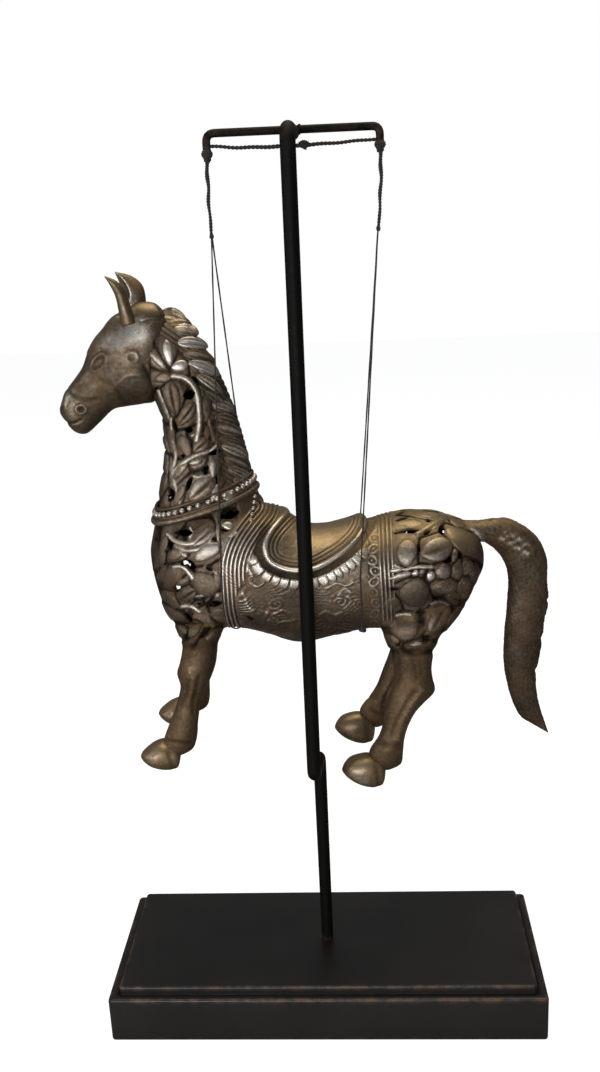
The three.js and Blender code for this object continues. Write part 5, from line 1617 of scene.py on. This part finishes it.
def leaves_clear(leaves):
    """Which leaves leave the far side's see-through piercings open."""
    u, v = in_ovals(FAR_HOLES[:, 0], FAR_HOLES[:, 1], leaves, 1.5)
    return (np.hypot(u, v) > 1).all(0)


def make_foliage(paint, flank, neck):
    """Leaves of both sides: on the far flank only those that leave its own piercings open."""
    parts = [leaf_skin(flank, row, -1) for row in FLANK_LEAVES]
    parts += [leaf_skin(flank, row, 1) for row in FLANK_LEAVES[leaves_clear(FLANK_LEAVES)]]
    parts += [leaf_skin(neck, row, side) for row in NECK_LEAVES for side in (-1, 1)]
    cast_piece("foliage", parts, paint)


def make_mane(paint, neck):
    """Locks of the mane, each a combed leaf that lies over the neck's side and thins towards the crest."""
    parts = []
    for k, (x0, z0, x1, z1, half, tone_and_painted_light) in enumerate(LOCKS):
        long = math.hypot(x1 - x0, z1 - z0) / 2
        turn = math.degrees(math.atan2(z0 - z1, x0 - x1))
        row = ((x0 + x1) / 2, (z0 + z1) / 2, long, half, turn, 1.3, -1.2, 0.0, tone_and_painted_light)
        parts += [leaf_skin(neck, row, side, 25, 30, (3, 2, 4)[k % 3], 2.2, 0.6) for side in (-1, 1)]
    cast_piece("mane", parts, paint)


def collar_line(shift, count):
    """Points on the trunk along the collar's line, with the outward direction and the way towards the
    rump."""
    turn = ring_turns(count)
    place = collar_place(turn, shift)
    point = trunk_point(place, turn)
    along = trunk_point(place + 0.02, turn) - trunk_point(place - 0.02, turn)
    over = trunk_point(place, turn + 0.02) - trunk_point(place, turn - 0.02)
    out = np.cross(over, along)
    out *= np.sign(np.einsum("ij,ij->i", out, point - point.mean(0)))[:, None]
    unit = [v / np.linalg.norm(v, axis=1, keepdims=True) for v in (out, along)]
    return point, *unit


def band_skin(shift, lift, radius, mark, sides=132, around=12):
    """A round moulding along the collar's line."""
    point, out, along = (v[np.concatenate([np.arange(sides), [0, 1]])] for v in collar_line(shift, sides))
    c, s = np.cos(ring_turns(around)), np.sin(ring_turns(around))
    ring = out[:, None] * c[None, :, None] + along[:, None] * s[None, :, None]
    grid = (point + out * lift)[:, None] + radius * ring
    return bronze_skin(grid, mark * (0.4 + 0.6 * np.clip(c, 0, 1)), film_and_top_light_mask(out)[:, None])


def bead_skins(points, normals, radius, mark, rings=6, around=8):
    """Round beads of a few dozen faces, sunk a third into the surface."""
    theta = np.linspace(0.25, np.pi - 0.25, rings)[:, None]
    phi = ring_turns(around)[None, :]
    wide, level = np.sin(theta), np.zeros_like(phi)
    ball = np.stack([wide * np.cos(phi), wide * np.sin(phi), np.cos(theta) + level], -1) * radius
    return [bronze_skin(ball + point + normal * radius * 0.35, mark, film_and_top_light_mask(normal))
            for point, normal in zip(points, normals)]


def make_collar(paint, flank):
    """Collar round the foot of the neck: a heavy lower moulding with a fine one beside it, a row of beads
    and an upper moulding, and the short beaded strap behind it."""
    parts = [band_skin(0, 0.4, 2.1, 0.62), band_skin(-0.125, 0.2, 1.1, 0.5), band_skin(-0.42, 0.1, 1.3, 0.45)]
    point, out, _ = collar_line(-0.25, 41)
    parts += bead_skins(point, out, 1.9, 0.84)
    strap = np.linspace(0, 1, 6)
    point, out = flank.at(-33.5 - 3.5 * strap, 384 - 19 * strap)
    for side in (-1, 1):
        parts += bead_skins(point * [1, -side, 1], out * [1, -side, 1], 1.5, 0.9)
    cast_piece("collar", parts, paint)


# Horse: head, ears, legs, hooves and tail

# Places on the head, x z
EYE_PLACE = (-125, 462.5)
# centre of the painted shade that darkens the eye socket
EYE_SOCKET = (-120, 460)
CHEEK = (-103, 447)
TEMPLE = (-104, 464.5)
NOSTRIL = (-138.5, 434)

# Creases of the head: points x z, depth, half width
CREASES = [
    ([(-153, 430), (-149, 426.5), (-144, 425.5), (-139, 427.5)], 0.7, 0.8),
    ([(-145, 447), (-139, 441.5), (-133, 439.5), (-128, 440)], 0.45, 1.1),
    ([(-97, 485.5), (-91, 486.5), (-85, 486)], 0.5, 0.8),
    ([(-84, 488), (-78, 486), (-72, 483)], 0.5, 0.8),
    ([(-126, 452), (-118, 447), (-114, 440)], 0.3, 1.4),
    ([(-97, 459), (-93.5, 450), (-90, 442), (-87, 437)], 0.6, 1.1),
]

# Brow and cheek ridges as strokes: half width, rise, tone and painted light (silvered tone with painted
# highlight), then points x z
HEAD_RIDGES = [
    (1.8, 0.6, 0.12, [(-131, 470), (-127, 477), (-120, 484), (-112, 489)]),
    (1.0, 0.35, 0.08, [(-117, 446), (-112, 451), (-106, 454), (-99, 453)]),
]

# Bright places of the head, painted highlights where forehead, brow and nose face the light: x z, radius,
# tone and painted light
PAINTED_HEAD_HIGHLIGHTS = [(-101, 481, 8, 0.46), (-112, 475, 7, 0.3), (-122, 475, 7, 0.16), (-145, 441, 6, 0.2)]

# Pits behind the jaw, sunk deep and darkened by painted shade: x z, half width, half height
JAW_PITS = [(-91, 457, 1.9, 4.6), (-87.2, 470.5, 2.6, 4.6)]


def away(x, z, place, stretch=1.0):
    """Distance from a place, with heights stretched."""
    return np.hypot(x - place[0], (z - place[1]) * stretch)


def head_relief(x, z):
    """Eye, brow, cheek, nostril and mouth in low relief, the creases at the poll and the two pits behind
    the jaw."""
    rise, mark = stroke_relief(x, z, HEAD_RIDGES)
    mark += 0.46
    tilt = math.radians(48)
    dx, dz = x - EYE_PLACE[0], z - EYE_PLACE[1]
    eye = np.hypot((dx * math.cos(tilt) + dz * math.sin(tilt)) / 4.4,
                   (-dx * math.sin(tilt) + dz * math.cos(tilt)) / 2.3)
    rise += 0.7 * np.clip(1 - eye ** 2, 0, 1) + 0.55 * bump(eye - 1.45, 0.3) - 0.45 * bump(eye - 1.02, 0.16)
    socket = away(x, z, EYE_SOCKET)
    # the eye socket is darkened: painted shade
    mark += 0.05 * bump(eye - 1.45, 0.24) - 0.2 * bump(eye - 1.02, 0.2) - 0.16 * bump(socket, 9)
    cheek = away(x, z, CHEEK)
    rings = np.cos(2 * np.pi * cheek / 3.1) * smooth_step(12, 9, cheek)
    rise += 0.6 * smooth_step(13.5, 7.5, cheek) + 0.08 * rings
    mark -= 0.08 * bump(cheek - 12, 1.4)
    ring = away(x, z, TEMPLE, 1.2)
    rise += 0.4 * bump(ring - 3.6, 1.1) - 0.25 * bump(ring, 1.8)
    # only the upper half of the temple ring is brightened: painted highlight where it faces up
    mark += 0.1 * bump(ring - 3.6, 1.2) * smooth_step(462, 467, z)
    nostril = away(x, z, NOSTRIL, 1.15)
    rise += 0.6 * bump(nostril - 3.1, 1.0) - 1.2 * bump(nostril, 1.3)
    # only the upper rim of the nostril is brightened: painted highlight where it faces up
    mark += 0.12 * bump(nostril - 3.1, 1.0) * smooth_step(430, 437, z) - 0.3 * bump(nostril, 1.4)
    for points, depth, half in CREASES:
        off, _ = along_curve(x, z, points)
        rise -= depth * bump(off, half)
        mark -= 0.3 * depth * bump(off, half * 1.1)
    # painted highlights on the forehead, brow and nose
    for cx, cz, radius, tone_and_painted_light in PAINTED_HEAD_HIGHLIGHTS:
        mark += tone_and_painted_light * bump(np.hypot(x - cx, z - cz), radius)
    # darker under the jaw: painted shade
    mark -= 0.1 * smooth_step(452, 436, z) * smooth_step(-140, -132, x)
    for cx, cz, wide, tall in JAW_PITS:
        # each pit is sunk and its mark darkened: painted shade inside it
        shaded_pit = smooth_step(1.25, 0.75, np.hypot((x - cx) / wide, (z - cz) / tall))
        rise -= 3.4 * shaded_pit
        mark -= shaded_pit
    return rise, mark


def make_head(paint, rings=118, sides=150):
    """Head: squarish rings from muzzle to poll through its stations, moved out along their normals by the
    relief."""
    places = even_places(HEAD, 0, len(HEAD) - 1, rings)
    grid = loft(HEAD, places, sides, HEAD_SQUARE)
    normals = outward(grid, grid_normals(grid))
    rise, mark = head_relief(*as_seen(grid, MIDDLE_PLANE))
    rise = rise * smooth_step(0.0, 0.6, places)[:, None]
    skin = grid + normals * rise[..., None]
    head = cast_piece("head", [bronze_skin(skin, np.clip(mark, 0, 1), 0.55 * film_and_top_light_mask(normals))], paint)
    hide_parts("horse")


def make_ears(paint, rings=30, sides=36):
    """Pointed ears with a hollow down the front."""
    parts = []
    turn = ring_turns(sides)
    places = np.linspace(0, 4, rings)
    for rows, side in ((EAR_NEAR, -1), (EAR_FAR, 1)):
        grid = loft(rows, places, sides, 2.0, side)
        front = bump(np.angle(np.exp(1j * (turn - np.pi - side * 0.6))), 0.55)[None, :]
        hollow = front * smooth_step(0.9, 1.6, places)[:, None] * smooth_step(4, 3.2, places)[:, None]
        grid = grid + (grid.mean(axis=1, keepdims=True) - grid) * (0.75 * hollow)[..., None]
        # a strip down each ear's side, strongest on the far ear, is brightened: painted highlight
        mark = 0.4 - 0.3 * hollow + (0.45 if side > 0 else 0.1) * bump(turn - 4.4, 0.5)[None, :]
        parts.append(bronze_skin(grid, mark, 0.25))
    cast_piece("ears", parts, paint)


# Bony swellings of the legs: x, z, radius, rise, tone and painted light (painted highlight on knees, hocks
# and fetlocks); and tendons as strokes
SWELLINGS = np.array([
    [-81, 268.3, 6.0, 0.8, 0.12], [-86.5, 237, 6.5, 0.5, 0.08], [-82, 226, 5.0, 0.5, 0.06],
    [-91, 223, 5.0, 0.4, 0.08],
    [66, 246.5, 6.5, 0.8, 0.12], [46.5, 203, 6.0, 0.7, 0.08], [54, 262, 6.0, 0.4, -0.04],
    [40, 201, 4.0, 0.3, -0.08],
])
TENDONS = [
    (1.2, -0.6, -0.12, [(-76.5, 263), (-78.5, 254), (-81, 245), (-82, 238)]),
    (1.1, -0.4, -0.08, [(-83.5, 261), (-86, 252), (-89.5, 243)]),
    (1.6, 0.6, 0.04, [(-80, 262), (-82, 253), (-85, 244)]),
    (2.2, 0.8, 0.05, [(68, 244), (61.7, 235), (54.5, 222), (51.5, 210)]),
    (1.4, -0.6, -0.12, [(62.5, 243), (56.5, 234), (49.6, 221), (46.5, 212)]),
    (1.5, -0.4, -0.08, [(51, 272), (52.5, 261), (51, 250)]),
    (1.8, 0.5, 0.08, [(68, 274), (69, 264), (69.5, 255)]),
    (1.3, -0.4, -0.08, [(61, 270), (63, 260), (64, 252)]),
    (1.4, -0.7, -0.16, [(38, 209), (44, 206.5), (51, 205)]),
    (1.3, -0.6, -0.14, [(-100, 219.5), (-93, 217.5), (-86, 216.5)]),
]


def leg_relief(x, z):
    """Sunk ground under the leaves of the thigh and forearm; knees, hocks, fetlocks and tendons below."""
    worked = smooth_step(-2.5, 2.5, z - np.where(x > 0, 269, 283))
    # the flank's piercings that fall on the legs are sunk and painted near-black: painted shade
    shaded_pit = smooth_step(0.5, -0.4, hole_field(x, z, FLANK_HOLES)) * worked
    low, low_mark = plate_ground(x, z, FLANK_LEAVES)
    bone, bone_mark = stroke_relief(x, z, TENDONS)
    for cx, cz, radius, height, tone_and_painted_light in SWELLINGS:
        swell = bump(np.hypot(x - cx, z - cz), radius)
        bone += height * swell
        # painted highlight on the swelling
        bone_mark += tone_and_painted_light * swell
    rise = (low - 0.25) * worked - 2.6 * shaded_pit + bone * (1 - worked)
    mark = laid(0.44, worked, low_mark - 0.04) * (1 - shaded_pit) + bone_mark * (1 - worked)
    return rise, mark


def limb_grid(rows, shift, side, count, sides, square, start=0):
    """Rings of a leg or hoof through its stations, with outward normals; on the far side shifted along x."""
    table = rows.copy()
    if side > 0:
        table[:, [0, 2]] += np.reshape(shift, (-1, 1))
    places = even_places(table, start, len(table) - 1, count)
    grid = loft(table, places, sides, square, side)
    return grid, outward(grid, grid_normals(grid)), places


def leg_parts(rings=130, sides=76):
    """Smooth legs of both sides, for the relief and for the places of the leaves."""
    legs = (("foreleg", FORELEG, FAR_FORE_SHIFT, 0.65), ("hindleg", HINDLEG, FAR_HIND_SHIFT, 0.1))
    return [(label + name, *limb_grid(rows, shift, side, rings, sides, 2.0, start)[:2])
            for name, rows, shift, start in legs for label, side in (("near_", -1), ("far_", 1))]


def make_legs(paint, legs):
    """Legs: rings through their stations, thickened at the body and moved out by the relief."""
    for name, grid, normals in legs:
        grid = fillet_leg(grid, normals)
        rise, mark = leg_relief(*as_seen(grid, FLANK_PLANE))
        skin = grid + normals * rise[..., None]
        cast_piece(name, [bronze_skin(skin, np.clip(mark, 0, 1), film_and_top_light_mask(normals))], paint)


def make_hooves(paint, rings=40, sides=56):
    """Folded-back hooves: a raised coronet, smooth walls and a slightly hollow sole."""
    parts = []
    for rows, shift in ((FORE_HOOF, FAR_FORE_SHIFT[-1]), (HIND_HOOF, FAR_HIND_SHIFT[-1])):
        for side in (-1, 1):
            grid, normals, places = limb_grid(rows, shift, side, rings, sides, HOOF_SQUARE)
            coronet, groove, middle = (bump(places - at, half)[:, None]
                                       for at, half in ((1.6, 0.35), (2.4, 0.25), (4.2, 1.3)))
            skin = grid + normals * (0.35 * coronet - 0.25 * groove)[..., None]
            # brighter across the middle of the hoof: painted highlight
            mark = 0.42 + 0.06 * coronet - 0.12 * groove + 0.16 * middle
            parts.append(bronze_skin(skin, mark, film_and_top_light_mask(normals)))
    cast_piece("hooves", parts, paint)


def make_tail(paint, rings=156, sides=84):
    """Thick tail, pitted all over, with three scallops down its outer edge, a silver patch on its near side
    near the root, and a painted highlight along the root's upper edge."""
    last = len(TAIL) - 1
    places = even_places(TAIL, 0, last, rings)
    grid = loft(TAIL, places, sides, HEAD_SQUARE)
    normals = outward(grid, grid_normals(grid))
    x, y, z = (grid[..., k] for k in range(3))
    pitted = value_noise(grid, 3.2, 4) * 0.5 + value_noise(grid, 1.7, 9) * 0.5
    outer = smooth_step(-0.2, 0.7, np.cos(ring_turns(sides)))[None, :]
    rise = 0.34 * pitted
    for at in (288, 262, 240):
        rise -= 1.2 * bump(z - at - 0.25 * (x - 150), 2.2) * outer
    rise = rise * smooth_step(0, 0.5, places)[:, None] * smooth_step(last, last - 1.5, places)[:, None]
    near = smooth_step(0.2, -0.6, y / 8)
    off, way = along_curve(x, z, [(121, 340), (129, 337), (138, 330), (144.5, 322)])
    patch = bump(off, 4.6) * smooth_step(0, 4, way) * smooth_step(29, 25, way) * near
    root, _ = along_curve(x, z, [(104, 344), (109, 340), (113, 334)])
    mark = 0.36 + 0.16 * pitted + 0.5 * patch * (0.6 + 0.75 * value_noise(grid, 4.2, 21))
    # painted highlight along the upper edge of the root
    mark += 0.4 * bump(root, 1.6) * near
    skin = grid + normals * rise[..., None]
    cast_piece("tail", [bronze_skin(skin, np.clip(mark, 0, 1), 0.7 * film_and_top_light_mask(normals))], paint)


def make_horse():
    """The casting: its trunk, what lies on it, head, legs and tail."""
    body_paint = aged_bronze("body_bronze", pits=0.75, rust=0.62)
    head_paint = aged_bronze("head_bronze", middle=(0.15, 0.112, 0.075), pits=0.3, polish=0.2, rust=0.7)
    leg_paint = aged_bronze("leg_bronze", middle=(0.165, 0.108, 0.06), pits=0.7, polish=0.33, rust=0.7)
    hoof_paint = aged_bronze("hoof_bronze", middle=(0.25, 0.175, 0.1), pits=0.4, polish=0.26, rust=0.45)
    tail_paint = aged_bronze("tail_bronze", middle=(0.182, 0.133, 0.087), pits=1.0, polish=0.38, rust=0.7)
    barrel = trunk_grid(5.0, LAST_STATION, 236, 200)[:2]
    neck = trunk_grid(0, 6.2, 150, 170)[:2]
    legs = leg_parts()
    # leg points deep in the body would pull the flank's map inwards
    thighs = [(grid[body_form(grid) > -1], normals[body_form(grid) > -1]) for _, grid, normals in legs[::2]]
    flank = SideMap([barrel, *thighs], FLANK_PLANE)
    neck_side = SideMap([neck, (barrel[0][:60], barrel[1][:60])], MIDDLE_PLANE)
    make_barrel(body_paint)
    make_lining(body_paint)
    make_neck(body_paint)
    make_foliage(body_paint, flank, neck_side)
    make_mane(body_paint, neck_side)
    make_collar(body_paint, flank)
    make_head(head_paint)
    make_ears(head_paint)
    make_legs(leg_paint, legs)
    make_hooves(hoof_paint)
    make_tail(tail_paint)


def horse_outline():
    """Points of the smooth trunk, for the strings' way round it."""
    return trunk_grid(5.0, 22.5, 360, 220)[0].reshape(-1, 3)


make_camera()
cord_paint = black_cord()
outline = horse_outline()
make_hanging_cord(cord_paint, "front_sling", "front_cord", outline, -57.5, -37, -50.5, BAR_LEFT,
                  BAR_Z - BAR_DROP_LEFT - 1, -0.7, False)
make_hanging_cord(cord_paint, "rear_sling", "rear_cord", outline, 29, 34.7, 49.4, BAR_RIGHT,
                  BAR_Z - BAR_DROP_RIGHT - 1, 1.3, True)
make_tie_cord(cord_paint)
steel = black_steel()
make_base(black_lacquer())
make_rod(steel)
make_crossbar(steel)
make_horse()
make_studio()
